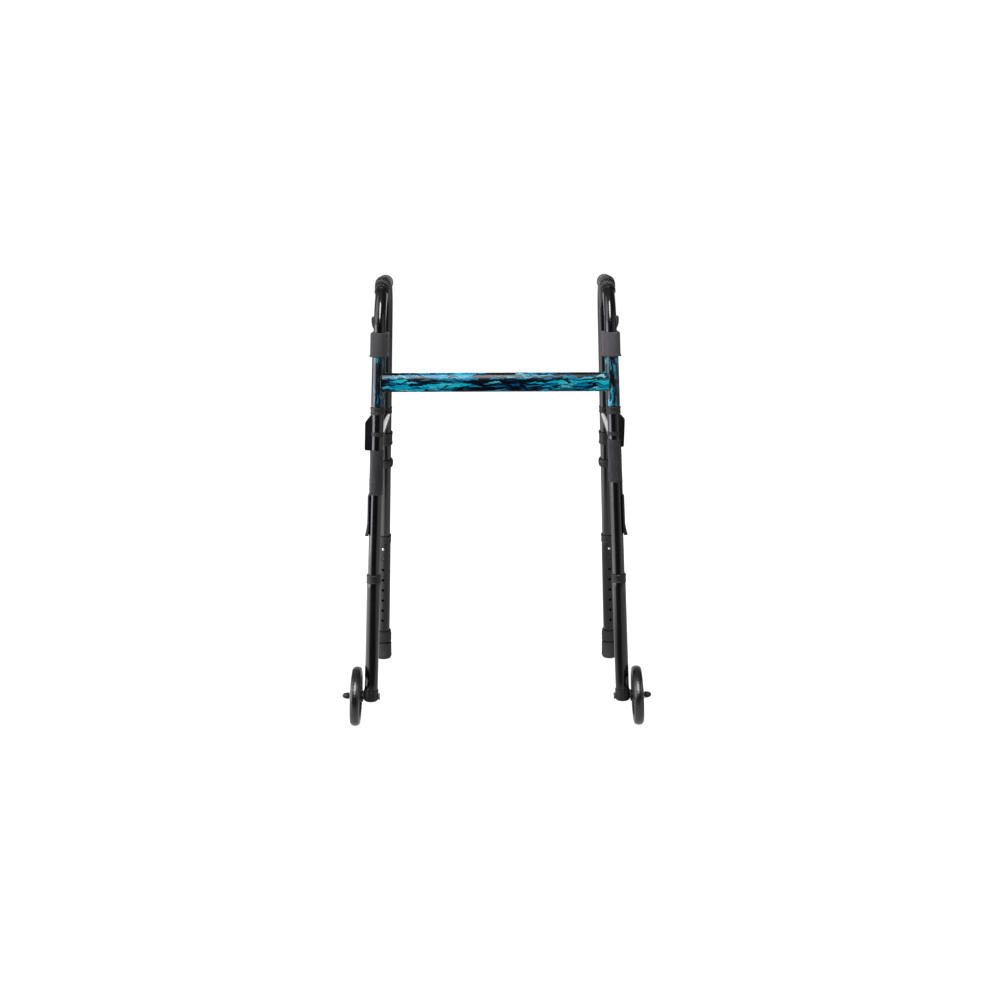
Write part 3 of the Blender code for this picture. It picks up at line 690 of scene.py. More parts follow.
def side_stations(marks_front=(), marks_rear=()):
    """Stations of the side tube's centre line in u and w, with extra ones near holes."""
    pts = [(0.0, w) for w in sorted(set([FRONT_BOTTOM, FRONT_BOTTOM + 0.0006] + list(marks_front)))]
    cw = TOP_W - BEND_R
    n = 26
    for i in range(n + 1):
        a = math.radians(90) * i / n
        pts.append((BEND_R - BEND_R * math.cos(a), cw + BEND_R * math.sin(a)))
    turn = math.radians(90) - REAR_TILT
    start_u = REAR_U0 - REAR_SLOPE * TOP_W - BEND_R * math.tan(turn / 2)
    n = 24
    for i in range(n + 1):
        a = turn * i / n
        pts.append((start_u + BEND_R * math.sin(a), TOP_W - BEND_R + BEND_R * math.cos(a)))
    for w in sorted(set(list(marks_rear) + [REAR_BOTTOM + 0.0006, REAR_BOTTOM]), reverse=True):
        pts.append((REAR_U0 - REAR_SLOPE * w, w))
    return pts


def sweep_piece(points, r_out, r_in, sides, closed_ends=True):
    """Hollow round bar along points (x, y, z) that lie in one plane of constant x.

    r_out and r_in are numbers or functions of (index, run, angle)."""
    pts = [Vector(p) for p in points]
    run, runs = 0.0, []
    for i, q in enumerate(pts):
        if i:
            run += (q - pts[i - 1]).length
        runs.append(run)
    e1 = Vector((1, 0, 0))
    frames = []
    for i, q in enumerate(pts):
        a = pts[max(i - 1, 0)]
        b = pts[min(i + 1, len(pts) - 1)]
        t = (b - a).normalized()
        e2 = t.cross(e1).normalized()
        # mitre the section so that a bend keeps its radius
        k = 1.0
        if 0 < i < len(pts) - 1:
            d0, d1 = (q - a).normalized(), (b - q).normalized()
            k = 1.0 / max(0.5, math.cos(d0.angle(d1) / 2))
        frames.append((q, e2, k))
    p = Piece()

    def skin(radius, flip):
        rows, maps = [], []
        for i, (q, e2, k) in enumerate(frames):
            row, mp = [], []
            for j in range(sides):
                a = 2 * math.pi * j / sides
                r = radius(i, runs[i], a) if callable(radius) else radius
                row.append(q + e1 * (r * math.cos(a)) + e2 * (r * math.sin(a) * k))
                mp.append((a * 0.0127, runs[i]))
            rows.append(row)
            maps.append(mp)
        return p.rows(rows, maps, True, False, flip)

    s0, cols = skin(r_out, False)
    if r_in is None:
        p.cap(s0, cols, pts[0])
        p.cap(s0 + (len(pts) - 1) * cols, cols, pts[-1], True)
        return p
    s1, _ = skin(r_in, True)
    last = (len(pts) - 1) * cols
    for j in range(cols):
        j2 = (j + 1) % cols
        p.f.append((s0 + j, s1 + j, s1 + j2, s0 + j2))
        p.f.append((s0 + last + j, s0 + last + j2, s1 + last + j2, s1 + last + j))
    return p


def levels_piece(outline, levels, inset_dir=1.0):
    """Solid from one closed outline (x, y) stacked at levels [(z, inset)]."""
    pts = np.array(outline, float)
    nxt, prv = np.roll(pts, -1, 0), np.roll(pts, 1, 0)
    t = nxt - prv
    n = np.stack([t[:, 1], -t[:, 0]], 1)
    n /= np.linalg.norm(n, axis=1)[:, None]
    area = 0.5 * np.sum(pts[:, 0] * nxt[:, 1] - nxt[:, 0] * pts[:, 1])
    if area < 0:
        n = -n
    p = Piece()
    rows, maps = [], []
    per = np.concatenate([[0], np.cumsum(np.linalg.norm(nxt - pts, axis=1))[:-1]])
    for z, inset in levels:
        q = pts - n * inset
        rows.append([(x, y, z) for x, y in q])
        maps.append([(s, z) for s in per])
    start, cols = p.rows(rows, maps, True, False)
    p.f.append(tuple(range(start, start + cols)))
    p.f.append(tuple(range(start + (len(rows) - 1) * cols, start + len(rows) * cols))[::-1])
    return p


def round_levels(z0, z1, r, n=4, extra=()):
    """Levels with rounded lower and upper edges."""
    out = []
    for k in range(n + 1):
        a = math.pi / 2 * k / n
        out.append((z0 + r * (1 - math.cos(a)), r * (1 - math.sin(a))))
    out += list(extra)
    for k in range(n, -1, -1):
        a = math.pi / 2 * k / n
        out.append((z1 - r * (1 - math.cos(a)), r * (1 - math.sin(a))))
    return out


def bar_cutter(name, r, z0, z1, matrix, sides=48):
    """Temporary round cutter."""
    p = lathe_piece([(0, z1), (r, z1), (r, z0), (0, z0)], sides, False)
    ob = bpy.data.objects.new(name, p.mesh(name))
    bpy.context.scene.collection.objects.link(ob)
    ob.matrix_world = matrix
    bpy.context.view_layer.update()
    return ob


def outline_cutter(name, outline, z0, z1, matrix):
    p = levels_piece(outline, [(z0, 0), (z1, 0)])
    ob = bpy.data.objects.new(name, p.mesh(name))
    bpy.context.scene.collection.objects.link(ob)
    ob.matrix_world = matrix
    bpy.context.view_layer.update()
    return ob


def toward(direction):
    return Vector(direction).to_track_quat("Z", "Y").to_matrix().to_4x4()


def merged(name, pieces, mat, matrix=None, sharp=35):
    """One object from several Piece shells that share a finish."""
    whole = Piece()
    for q in pieces:
        k = len(whole.v)
        whole.v.extend(q.v)
        whole.uv.extend(q.uv)
        whole.f.extend(tuple(i + k for i in f) for f in q.f)
    return add(name, whole.mesh(name), mat, matrix, sharp)


def bead(points, r, sides=8, closed=True, wobble=0.0):
    """Thin round bead along a loop or run of 3D points."""
    pts = [Vector(q) for q in points]
    m = len(pts)
    p = Piece()
    rows, maps = [], []
    run = 0.0
    ref = Vector((0.13, 0.27, 0.95)).normalized()
    for i, q in enumerate(pts):
        a = pts[(i - 1) % m] if closed else pts[max(i - 1, 0)]
        b = pts[(i + 1) % m] if closed else pts[min(i + 1, m - 1)]
        t = (b - a).normalized()
        e1 = t.cross(ref)
        if e1.length < 0.05:
            e1 = t.cross(Vector((1, 0, 0)))
        e1.normalize()
        e2 = t.cross(e1)
        rr = r * (1 + wobble * math.sin(i * 2.1))
        rows.append([q + e1 * (rr * math.cos(2 * math.pi * j / sides))
                     + e2 * (rr * math.sin(2 * math.pi * j / sides)) for j in range(sides)])
        maps.append([(j * rr, run) for j in range(sides)])
        run += (b - q).length
    start, cols = p.rows(rows, maps, True, closed)
    if not closed:
        p.cap(start, cols, pts[0])
        p.cap(start + (m - 1) * cols, cols, pts[-1], True)
    return p


# ---------------------------------------------------------------- front frame
def oval(a, b, n, power=2.6):
    out = []
    for i in range(n):
        t = 2 * math.pi * i / n
        c, s = math.cos(t), math.sin(t)
        out.append((a * math.copysign(abs(c) ** (2 / power), c),
                    b * math.copysign(abs(s) ** (2 / power), s)))
    return out


BAR_MID = (BAR_Z0 + BAR_Z1) / 2
BAR_A, BAR_B = BAR_DEPTH / 2, (BAR_Z1 - BAR_Z0) / 2
BAR_HALF = AXIS_X - math.tan(LEAN) * BAR_MID - 0.0085


def make_crossbar():
    p = Piece()
    n = 96
    xs = np.linspace(-BAR_HALF, BAR_HALF, 25)
    rings = []
    for a, b in ((BAR_A, BAR_B), (BAR_A - BAR_WALL, BAR_B - BAR_WALL)):
        sec = oval(a, b, n)
        rows = [[(x, BAR_Y + y, BAR_MID + z) for y, z in sec] for x in xs]
        maps = [[(x, j * 0.001) for j in range(n)] for x in xs]
        rings.append(p.rows(rows, maps, True, False))
    (s0, c), (s1, _) = rings
    last = (len(xs) - 1) * n
    for j in range(n):
        j2 = (j + 1) % n
        p.f.append((s0 + j, s1 + j, s1 + j2, s0 + j2))
        p.f.append((s0 + last + j, s0 + last + j2, s1 + last + j2, s1 + last + j))
    ob = add("crossbar_printed", p.mesh("crossbar_printed"), MATS["bar"], shift(0, AXIS_Y, 0))
    carve(ob, [bar_cutter("cope", SLEEVE_R + 0.0002, 0.68, 0.79, M_AXIS[n_]) for n_, _ in SIDES])
    finish_piece(ob, "front_frame", ["crossbar"])
    # weld bead where the bar meets each sleeve
    for name, s in SIDES:
        inv = M_AXIS[name].inverted()
        loop = []
        for y, z in oval(BAR_A + 0.0004, BAR_B + 0.0004, 84):
            world_y, world_z = AXIS_Y + BAR_Y + y, BAR_MID + z
            lo, hi = 0.20, AXIS_X - math.tan(LEAN) * world_z
            # where a line along the bar meets the sleeve's inboard side
            for _ in range(40):
                mid = (lo + hi) / 2
                q = inv @ Vector((s * mid, world_y, world_z))
                side_y = max(-SLEEVE_R + 0.0012, min(SLEEVE_R - 0.0012, q.y))
                if math.hypot(q.x, side_y) < SLEEVE_R + 0.0002:
                    hi = mid
                else:
                    lo = mid
            loop.append(Vector((s * hi, world_y, world_z)))
        w = merged("weld_bead_" + name, [bead(loop, 0.0011, 10, True, 0.16)],
                   MATS["tube"], None, 60)
        finish_piece(w, "front_frame", ())


def make_front_frame():
    make_crossbar()
    for name, s in SIDES:
        mx = M_AXIS[name]
        z0, z1 = SLEEVE_Z
        prof = fillet([(FIT_R, z1), (SLEEVE_R, z1), (SLEEVE_R, z1 - 0.004), (SLEEVE_R, z0 + 0.004),
                       (SLEEVE_R, z0), (FIT_R, z0)], [0.0002, 0.0006, 0, 0, 0.0006, 0.0002])
        ob = add("fold_sleeve_printed_" + name, lathe_piece(prof, 72).mesh("sleeve"),
                 MATS["sleeve_" + name], mx)
        finish_piece(ob, "front_frame", ["fold_sleeve_" + name])
        # lower bushing: a flanged ring with a shallow groove
        z0, z1 = BUSH_Z
        prof = fillet([(FIT_R, z1), (BUSH_R + 0.0002, z1), (BUSH_R + 0.0002, z1 - 0.0040),
                       (BUSH_R - 0.0006, z1 - 0.0046), (BUSH_R - 0.0006, z0 + 0.0040),
                       (BUSH_R, z0 + 0.0032), (BUSH_R - 0.0004, z0), (FIT_R, z0)],
                      [0.0003, 0.0010, 0.0004, 0.0003, 0.0003, 0.0004, 0.0008, 0.0003])
        ob = add("fold_bushing_ring_" + name, lathe_piece(prof, 64).mesh("bushing"),
                 MATS["collar"], mx)
        finish_piece(ob, "front_frame", ["fold_bushing_" + name])
        make_housing(name, s)


def make_housing(name, s):
    """Moulded block: front face, inboard shoulder that slopes back, lip and rear cover."""
    x0, x1 = -HOUSING_X, HOUSING_X
    y0, y1 = HOUSING_Y
    # seen from above; outboard is +x before mirroring
    # the front face is crowned from side to side
    span, bow = x1 - x0 - 0.0120, 0.0026
    face = [(x0 + 0.0120 + span * t, y0 + bow * (2 * t - 1) ** 2)
            for t in (0.0, 0.22, 0.33, 0.44, 0.56, 0.67, 0.78, 1.0)]
    plan = [(x0, y0 + 0.0115)] + face + [(x1, y1), (x0, y1)]
    outline = fillet(plan, [0.0060, 0.0060] + [0.0] * 6 + [0.0042, 0.0060, 0.0060], 7)
    outline = [(s * x, y) for x, y in outline]
    z0, z1 = HOUSING_Z
    lip = 0.0044
    levels = [(z0, 0.0012), (z0 + 0.0004, 0.0004), (z0 + 0.0012, 0.0),
              (z0 + lip - 0.0006, 0.0), (z0 + lip, 0.0004), (z0 + lip + 0.0003, 0.0011),
              (z0 + lip + 0.0020, 0.0012)]
    for k in range(5):
        a = math.pi / 2 * k / 4
        levels.append((z1 - 0.0022 * (1 - math.sin(a)), 0.0011 + 0.0022 * (1 - math.cos(a))))
    ob = add("lock_housing_block_" + name, levels_piece(outline, levels).mesh("housing"),
             MATS["matte"], M_AXIS[name], 28)
    cutters = [bar_cutter("bore", FIT_R, 0.77, 0.86, M_AXIS[name], 64)]
    # shadow gap between the two halves of the moulding, behind the tube
    gap = levels_piece([(x0 - 0.01, 0.0165), (x1 + 0.01, 0.0165), (x1 + 0.01, 0.0171),
                        (x0 - 0.01, 0.0171)], [(0.780, 0), (0.850, 0)])
    g = bpy.data.objects.new("gap", gap.mesh("gap"))
    bpy.context.scene.collection.objects.link(g)
    g.matrix_world = M_AXIS[name]
    core = outline_cutter("core", [(s * x, y) for x, y in fillet(
        [(x0 + 0.0024, y0 + 0.011), (x0 + 0.013, y0 + 0.002), (x1 - 0.0024, y0 + 0.002),
         (x1 - 0.0024, y1 - 0.002), (x0 + 0.0024, y1 - 0.002)],
        [0.004] * 5, 4)], 0.7904, 0.8352, M_AXIS[name])
    carve(g, [core], None)
    cutters.append(g)
    # two screw recesses on the back
    for zz in (0.800, 0.8265):
        cutters.append(bar_cutter("screw_well", 0.0034, y1 - 0.0022, y1 + 0.01,
                                  M_AXIS[name] @ shift(0, 0, zz) @ rx(-math.pi / 2), 32))
    carve(ob, cutters, 28)
    finish_piece(ob, "front_frame", ["lock_housing_" + name])
    heads = []
    for zz in (0.800, 0.8265):
        head = lathe_piece(fillet([(0, 0.0016), (0.0029, 0.0016), (0.0029, 0.0), (0, 0.0)],
                                  [0, 0.0006, 0, 0], 4), 32, False)
        m4 = shift(0, y1 - 0.0022, zz) @ rx(-math.pi / 2)
        head.v = [tuple(m4 @ Vector(q)) for q in head.v]
        heads.append(head)
    screws = merged("housing_screws_" + name, heads, MATS["plastic"], M_AXIS[name], 30)
    cross = []
    for zz in (0.800, 0.8265):
        for w_, h_ in ((0.0034, 0.0007), (0.0007, 0.0034)):
            c = levels_piece([(-w_ / 2, -h_ / 2), (w_ / 2, -h_ / 2), (w_ / 2, h_ / 2),
                              (-w_ / 2, h_ / 2)], [(0.0008, 0), (0.003, 0)])
            o = bpy.data.objects.new("slot", c.mesh("slot"))
            bpy.context.scene.collection.objects.link(o)
            o.matrix_world = M_AXIS[name] @ shift(0, y1 - 0.0022, zz) @ rx(-math.pi / 2)
            cross.append(o)
    carve(screws, cross, 30)
    finish_piece(screws, "front_frame", ())


# ---------------------------------------------------------------- side frames
def make_side_tube(name, s):
    mx = M_SIDE[name]
    near = [PIN_W - 0.006, PIN_W + 0.006, 0.44, 0.60, 0.75, 0.842]
    pts = [(0.0, u, w) for u, w in side_stations(near, [0.80, 0.62, 0.45, 0.2960, 0.2830])]
    last = len(pts) - 1

    def outer(i, run, a):
        return TUBE_R - (0.0005 if i in (0, last) else 0.0)

    ob = add("side_tube_bent_" + name, sweep_piece(pts, outer, TUBE_RI, 56).mesh("side_tube"),
             MATS["tube"], mx)
    slot = fillet([(-BUTTON_H / 2 - 0.0003, -BUTTON_T / 2 - 0.0003),
                   (BUTTON_H / 2 + 0.0003, -BUTTON_T / 2 - 0.0003),
                   (BUTTON_H / 2 + 0.0003, BUTTON_T / 2 + 0.0003),
                   (-BUTTON_H / 2 - 0.0003, BUTTON_T / 2 + 0.0003)], [0.0026] * 4, 6)
    lay = mx @ shift(0, 0, BUTTON_W) @ Matrix(
        ((0, 0, s, 0), (0, 1, 0, 0), (1, 0, 0, 0), (0, 0, 0, 1)))
    back = Vector((0, 1, 0))
    ahead = Vector((s * math.sin(PIN_TURN), -math.cos(PIN_TURN), 0))
    carve(ob, [outline_cutter("slot", slot, 0.004, 0.020, lay),
               bar_cutter("h1", HOLE_R, 0.008, 0.018, mx @ shift(0, 0, PIN_W) @ toward(back), 32),
               bar_cutter("h2", HOLE_R, 0.008, 0.018,
                          M_REAR[name] @ shift(0, 0, rear_t(PIN_W)) @ toward(ahead), 32)])
    finish_piece(ob, "side_frame_" + name, ["side_tube_" + name])


def make_grip(name, s):
    """Moulded grip: end beads, a knobbed front and finger waves below."""
    pts = []
    cw = TOP_W - BEND_R
    a0 = math.radians(52.5)
    n = 120
    for i in range(n + 1):
        a = a0 + (math.pi / 2 - a0) * i / n
        pts.append((0.0, BEND_R - BEND_R * math.cos(a), cw + BEND_R * math.sin(a)))
    m = 150
    for i in range(1, m + 1):
        pts.append((0.0, BEND_R + (GRIP_END - BEND_R) * i / m, TOP_W))
    bend = BEND_R * (math.pi / 2 - a0)
    total = bend + GRIP_END - BEND_R
    pitch = 0.0056
    knob = []

    def outer(i, run, a):
        # a = 90 degrees is the inside of the bend, the underside of the handle
        f = min(1.0, run / 0.055)
        r = 0.0141 + 0.0019 * f * f * (3 - 2 * f)
        r += 0.0007 * math.exp(-((run - 0.0022) / 0.0018) ** 2)
        r += 0.0008 * math.exp(-((run - (total - 0.0032)) / 0.0026) ** 2)
        if run < 0.0007 or run > total - 0.0007:
            r -= 0.0007
        # knobs, set like a honeycomb, fade out toward the palm
        dot = 0.0
        if 0.0048 < run < 0.0780:
            fade = min(1.0, (run - 0.0048) / 0.002, (0.0780 - run) / 0.012)
            around = 17
            row = (run - 0.0048) / (pitch * 0.87)
            k = math.floor(row)
            col = a / (2 * math.pi) * around + (0.5 if k % 2 else 0.0)
            shade = 0.5 + 0.5 * math.sin(12.9 * (math.floor(col) % around) + 7.7 * k + 1.3 * s)
            dx = (col - math.floor(col) - 0.5) * pitch
            dy = (row - k - 0.5) * pitch * 0.87
            d = math.hypot(dx, dy) / (pitch * 0.41)
            if d < 1:
                dome = fade * math.sqrt(1 - d * d)
                r += 0.0013 * dome
                dot = dome * (0.45 + 0.55 * shade)
            r -= 0.0003 * fade
        knob.append(dot)
        # finger waves on the underside, shallow ribs above
        if 0.070 < run < total - 0.008:
            fade = min(1.0, (run - 0.070) / 0.008, (total - 0.008 - run) / 0.006)
            under = max(0.0, math.sin(a)) ** 1.3
            r += fade * under * 0.0012 * math.cos(2 * math.pi * (run - 0.070) / 0.0240)
            r += fade * (1 - under) * 0.00020 * math.cos(36 * a)
        return r

    p = sweep_piece(pts, outer, FIT_R - 0.0001, 184)
    me = p.mesh("grip")
    knob_wear_and_highlight = me.attributes.new("knob", "FLOAT", "POINT")
    knob_wear_and_highlight.data.foreach_set("value", np.array(knob + [0.0] * (len(me.vertices) - len(knob)),
                                            dtype=np.float32))
    ob = add("hand_grip_moulded_" + name, me, MATS["grip"], M_SIDE[name], 60)
    finish_piece(ob, "side_frame_" + name, ["hand_grip_" + name])


def make_brace(name, s):
    mx, rear = M_SIDE[name], M_REAR[name]
    u1 = REAR_U0 - REAR_SLOPE * BRACE_REAR_W
    pts = []
    for i in range(25):
        t = i / 24
        pts.append((0.0, u1 * t, BRACE_FRONT_W + (BRACE_REAR_W - BRACE_FRONT_W) * t))
    ob = add("side_brace_tube_" + name, sweep_piece(pts, BRACE_R, BRACE_RI, 56).mesh("brace"),
             MATS["tube_low"], mx)
    carve(ob, [bar_cutter("c1", FIT_CUT - 0.0003, 0.58, 0.65, mx, 64),
               bar_cutter("c2", FIT_CUT - 0.0003, rear_t(0.58), rear_t(0.67), rear, 64),
               bar_cutter("c3", BAND_R + 0.0004, BAND_FRONT_Z[0] - 0.0003, 0.65, mx, 64),
               bar_cutter("c4", BAND_R + 0.0004, rear_t(BAND_REAR_Z[0]) - 0.0003,
                          rear_t(0.67), rear, 64)])
    finish_piece(ob, "side_frame_" + name, ["side_brace_" + name])
    # fillet weld round the lower half of each end
    welds = []
    for centre, matrix, limit in ((BRACE_FRONT_W, Matrix.Identity(4), BAND_FRONT_Z[0]),
                                  (BRACE_REAR_W, mx.inverted() @ rear, BAND_REAR_Z[0])):
        run = []
        rear_end = matrix != Matrix.Identity(4)
        inv = matrix.inverted()
        for k in range(61):
            a = math.radians(-200 + 220 * k / 60)
            x, z = math.cos(a) * (BRACE_R + 0.0004), math.sin(a) * (BRACE_R + 0.0004)
            lo, hi = (0.0, 0.05) if not rear_end else (u1, u1 - 0.05)
            for _ in range(40):
                mid = (lo + hi) / 2
                zz = BRACE_FRONT_W + (BRACE_REAR_W - BRACE_FRONT_W) * mid / u1 + z
                q = inv @ Vector((x, mid, zz))
                if math.hypot(q.x, q.y) < TUBE_R:
                    lo = mid
                else:
                    hi = mid
            zz = BRACE_FRONT_W + (BRACE_REAR_W - BRACE_FRONT_W) * hi / u1 + z
            q = inv @ Vector((x, hi, zz))
            top = limit if not rear_end else rear_t(limit)
            if q.z < top - 0.0014:
                run.append(Vector((x, hi, zz)))
        if len(run) > 4:
            welds.append(bead(run, 0.0010, 10, False, 0.15))
    w = merged("brace_welds_" + name, welds, MATS["tube_low"], mx, 60)
    finish_piece(w, "side_frame_" + name, ())


def make_rings(name, s):
    mx, rear = M_SIDE[name], M_REAR[name]
    body = "side_frame_" + name
    z0, z1 = BAND_FRONT_Z
    prof = fillet([(FIT_R, z1), (BAND_R, z1), (BAND_R, z1 - 0.0026), (BAND_R - 0.0004, z1 - 0.0030),
                   (BAND_R - 0.0004, z0 + 0.0030), (BAND_R, z0 + 0.0026), (BAND_R, z0),
                   (FIT_R, z0)], [0.0002, 0.0004, 0.0002, 0.0002, 0.0002, 0.0002, 0.0004, 0.0002])
    ob = add("brace_band_front_ring_" + name, lathe_piece(prof, 64).mesh("band"),
             MATS["collar"], mx)
    finish_piece(ob, body, ["brace_band_front_" + name])
    z0, z1 = rear_t(BAND_REAR_Z[0]), rear_t(BAND_REAR_Z[1])
    prof = fillet([(FIT_R, z1), (BAND_R, z1), (BAND_R, z1 - 0.0030), (BAND_R - 0.0004, z1 - 0.0036),
                   (BAND_R - 0.0004, z0 + 0.0036), (BAND_R, z0 + 0.0030), (BAND_R, z0),
                   (FIT_R, z0)], [0.0002, 0.0004, 0.0002, 0.0002, 0.0002, 0.0002, 0.0004, 0.0002])
    ob = add("brace_band_rear_ring_" + name, lathe_piece(prof, 64).mesh("band"),
             MATS["collar"], rear)
    finish_piece(ob, body, ["brace_band_rear_" + name])
    # upper collar: two beads and a waist
    z0, z1 = rear_t(COLLAR_UP_Z[0]), rear_t(COLLAR_UP_Z[1])
    r = COLLAR_UP_R
    prof = fillet([(FIT_R, z1), (r, z1), (r, z1 - 0.0052), (r - 0.0009, z1 - 0.0062),
                   (r - 0.0009, z0 + 0.0062), (r, z0 + 0.0052), (r, z0), (FIT_R, z0)],
                  [0.0003, 0.0010, 0.0004, 0.0004, 0.0004, 0.0004, 0.0010, 0.0003])
    ob = add("rear_collar_upper_ring_" + name, lathe_piece(prof, 64).mesh("collar"),
             MATS["collar"], rear)
    finish_piece(ob, body, ["rear_collar_upper_" + name])
    # lower collar: stepped, with gripping ribs round its middle
    z0, z1 = rear_t(COLLAR_LOW_Z[0]), rear_t(COLLAR_LOW_Z[1])
    r = COLLAR_LOW_R
    prof = fillet([(FIT_R, z1), (r - 0.0012, z1), (r - 0.0004, z1 - 0.0030), (r, z1 - 0.0040),
                   (r, z1 - 0.0075), (r - 0.0006, z1 - 0.0080), (r - 0.0006, z0 + 0.0080),
                   (r, z0 + 0.0075), (r - 0.0010, z0), (FIT_R, z0)],
                  [0.0003, 0.0008, 0.0003, 0.0003, 0.0003, 0, 0, 0.0003, 0.0010, 0.0003])
    ribbed = [k for k, q in enumerate(prof)
              if z0 + 0.0079 < q[1] < z1 - 0.0079 and q[0] > r - 0.001]

    ob = add("rear_collar_lower_ring_" + name,
             lathe_piece(prof, 144, True,
                         lambda a, k: 0.00030 * math.cos(36 * a) if prof[k][0] > r - 0.0011
                         and z0 + 0.007 < prof[k][1] < z1 - 0.007 else 0.0).mesh("collar"),
             MATS["collar"], rear)
    finish_piece(ob, body, ["rear_collar_lower_" + name])


def make_bracket(name, s):
    """Wedge beside the leg, with a sloped top and a sunk panel on both faces."""
    mx = M_SIDE[name]
    if s > 0:
        side = [(0.0060, 0.6655), (0.0146, 0.6655), (0.0224, 0.6565), (0.0230, 0.6535),
                (0.0224, 0.6420), (0.0194, 0.6000), (0.0182, 0.5970), (0.0060, 0.5970)]
        panel = [(0.0165, 0.6500), (0.0205, 0.6480), (0.0198, 0.6360), (0.0178, 0.6080),
                 (0.0165, 0.6070)]
    else:
        side = [(0.0060, 0.6655), (0.0146, 0.6655), (0.0248, 0.6512), (0.0256, 0.6482),
                (0.0253, 0.5945), (0.0236, 0.5915), (0.0060, 0.5915)]
        panel = [(0.0165, 0.6500), (0.0228, 0.6440), (0.0226, 0.6010), (0.0165, 0.6000)]
    outline = fillet(side, [0] + [0.0012] * (len(side) - 2) + [0], 4)
    # drawn in v and w, thick along u
    lay = mx @ Matrix(((s, 0, 0, 0), (0, 0, 1, 0), (0, 1, 0, 0), (0, 0, 0, 1)))
    ob = add("side_bracket_wedge_" + name,
             levels_piece(outline, round_levels(-0.0070, 0.0070, 0.0011, 4)).mesh("bracket"),
             MATS["bracket"], lay, 30)
    cutters = [bar_cutter("c1", FIT_CUT - 0.0002, 0.58, 0.68, mx, 64),
               bar_cutter("c2", BAND_R + 0.0004, BAND_FRONT_Z[0] - 0.0003,
                          BAND_FRONT_Z[1] + 0.0003, mx, 64),
               bar_cutter("c3", WRAP_R + 0.0006, 0.57, WRAP_Z[name][1] + 0.0003, mx, 64)]
    panel = fillet(panel, [0.0012] * len(panel), 4)
    for k in (-1, 1):
        cutters.append(outline_cutter("p", panel, min(k * 0.0062, k * 0.009),
                                      max(k * 0.0062, k * 0.009), lay))
    carve(ob, cutters, 30)
    finish_piece(ob, "side_frame_" + name, ["side_bracket_" + name])


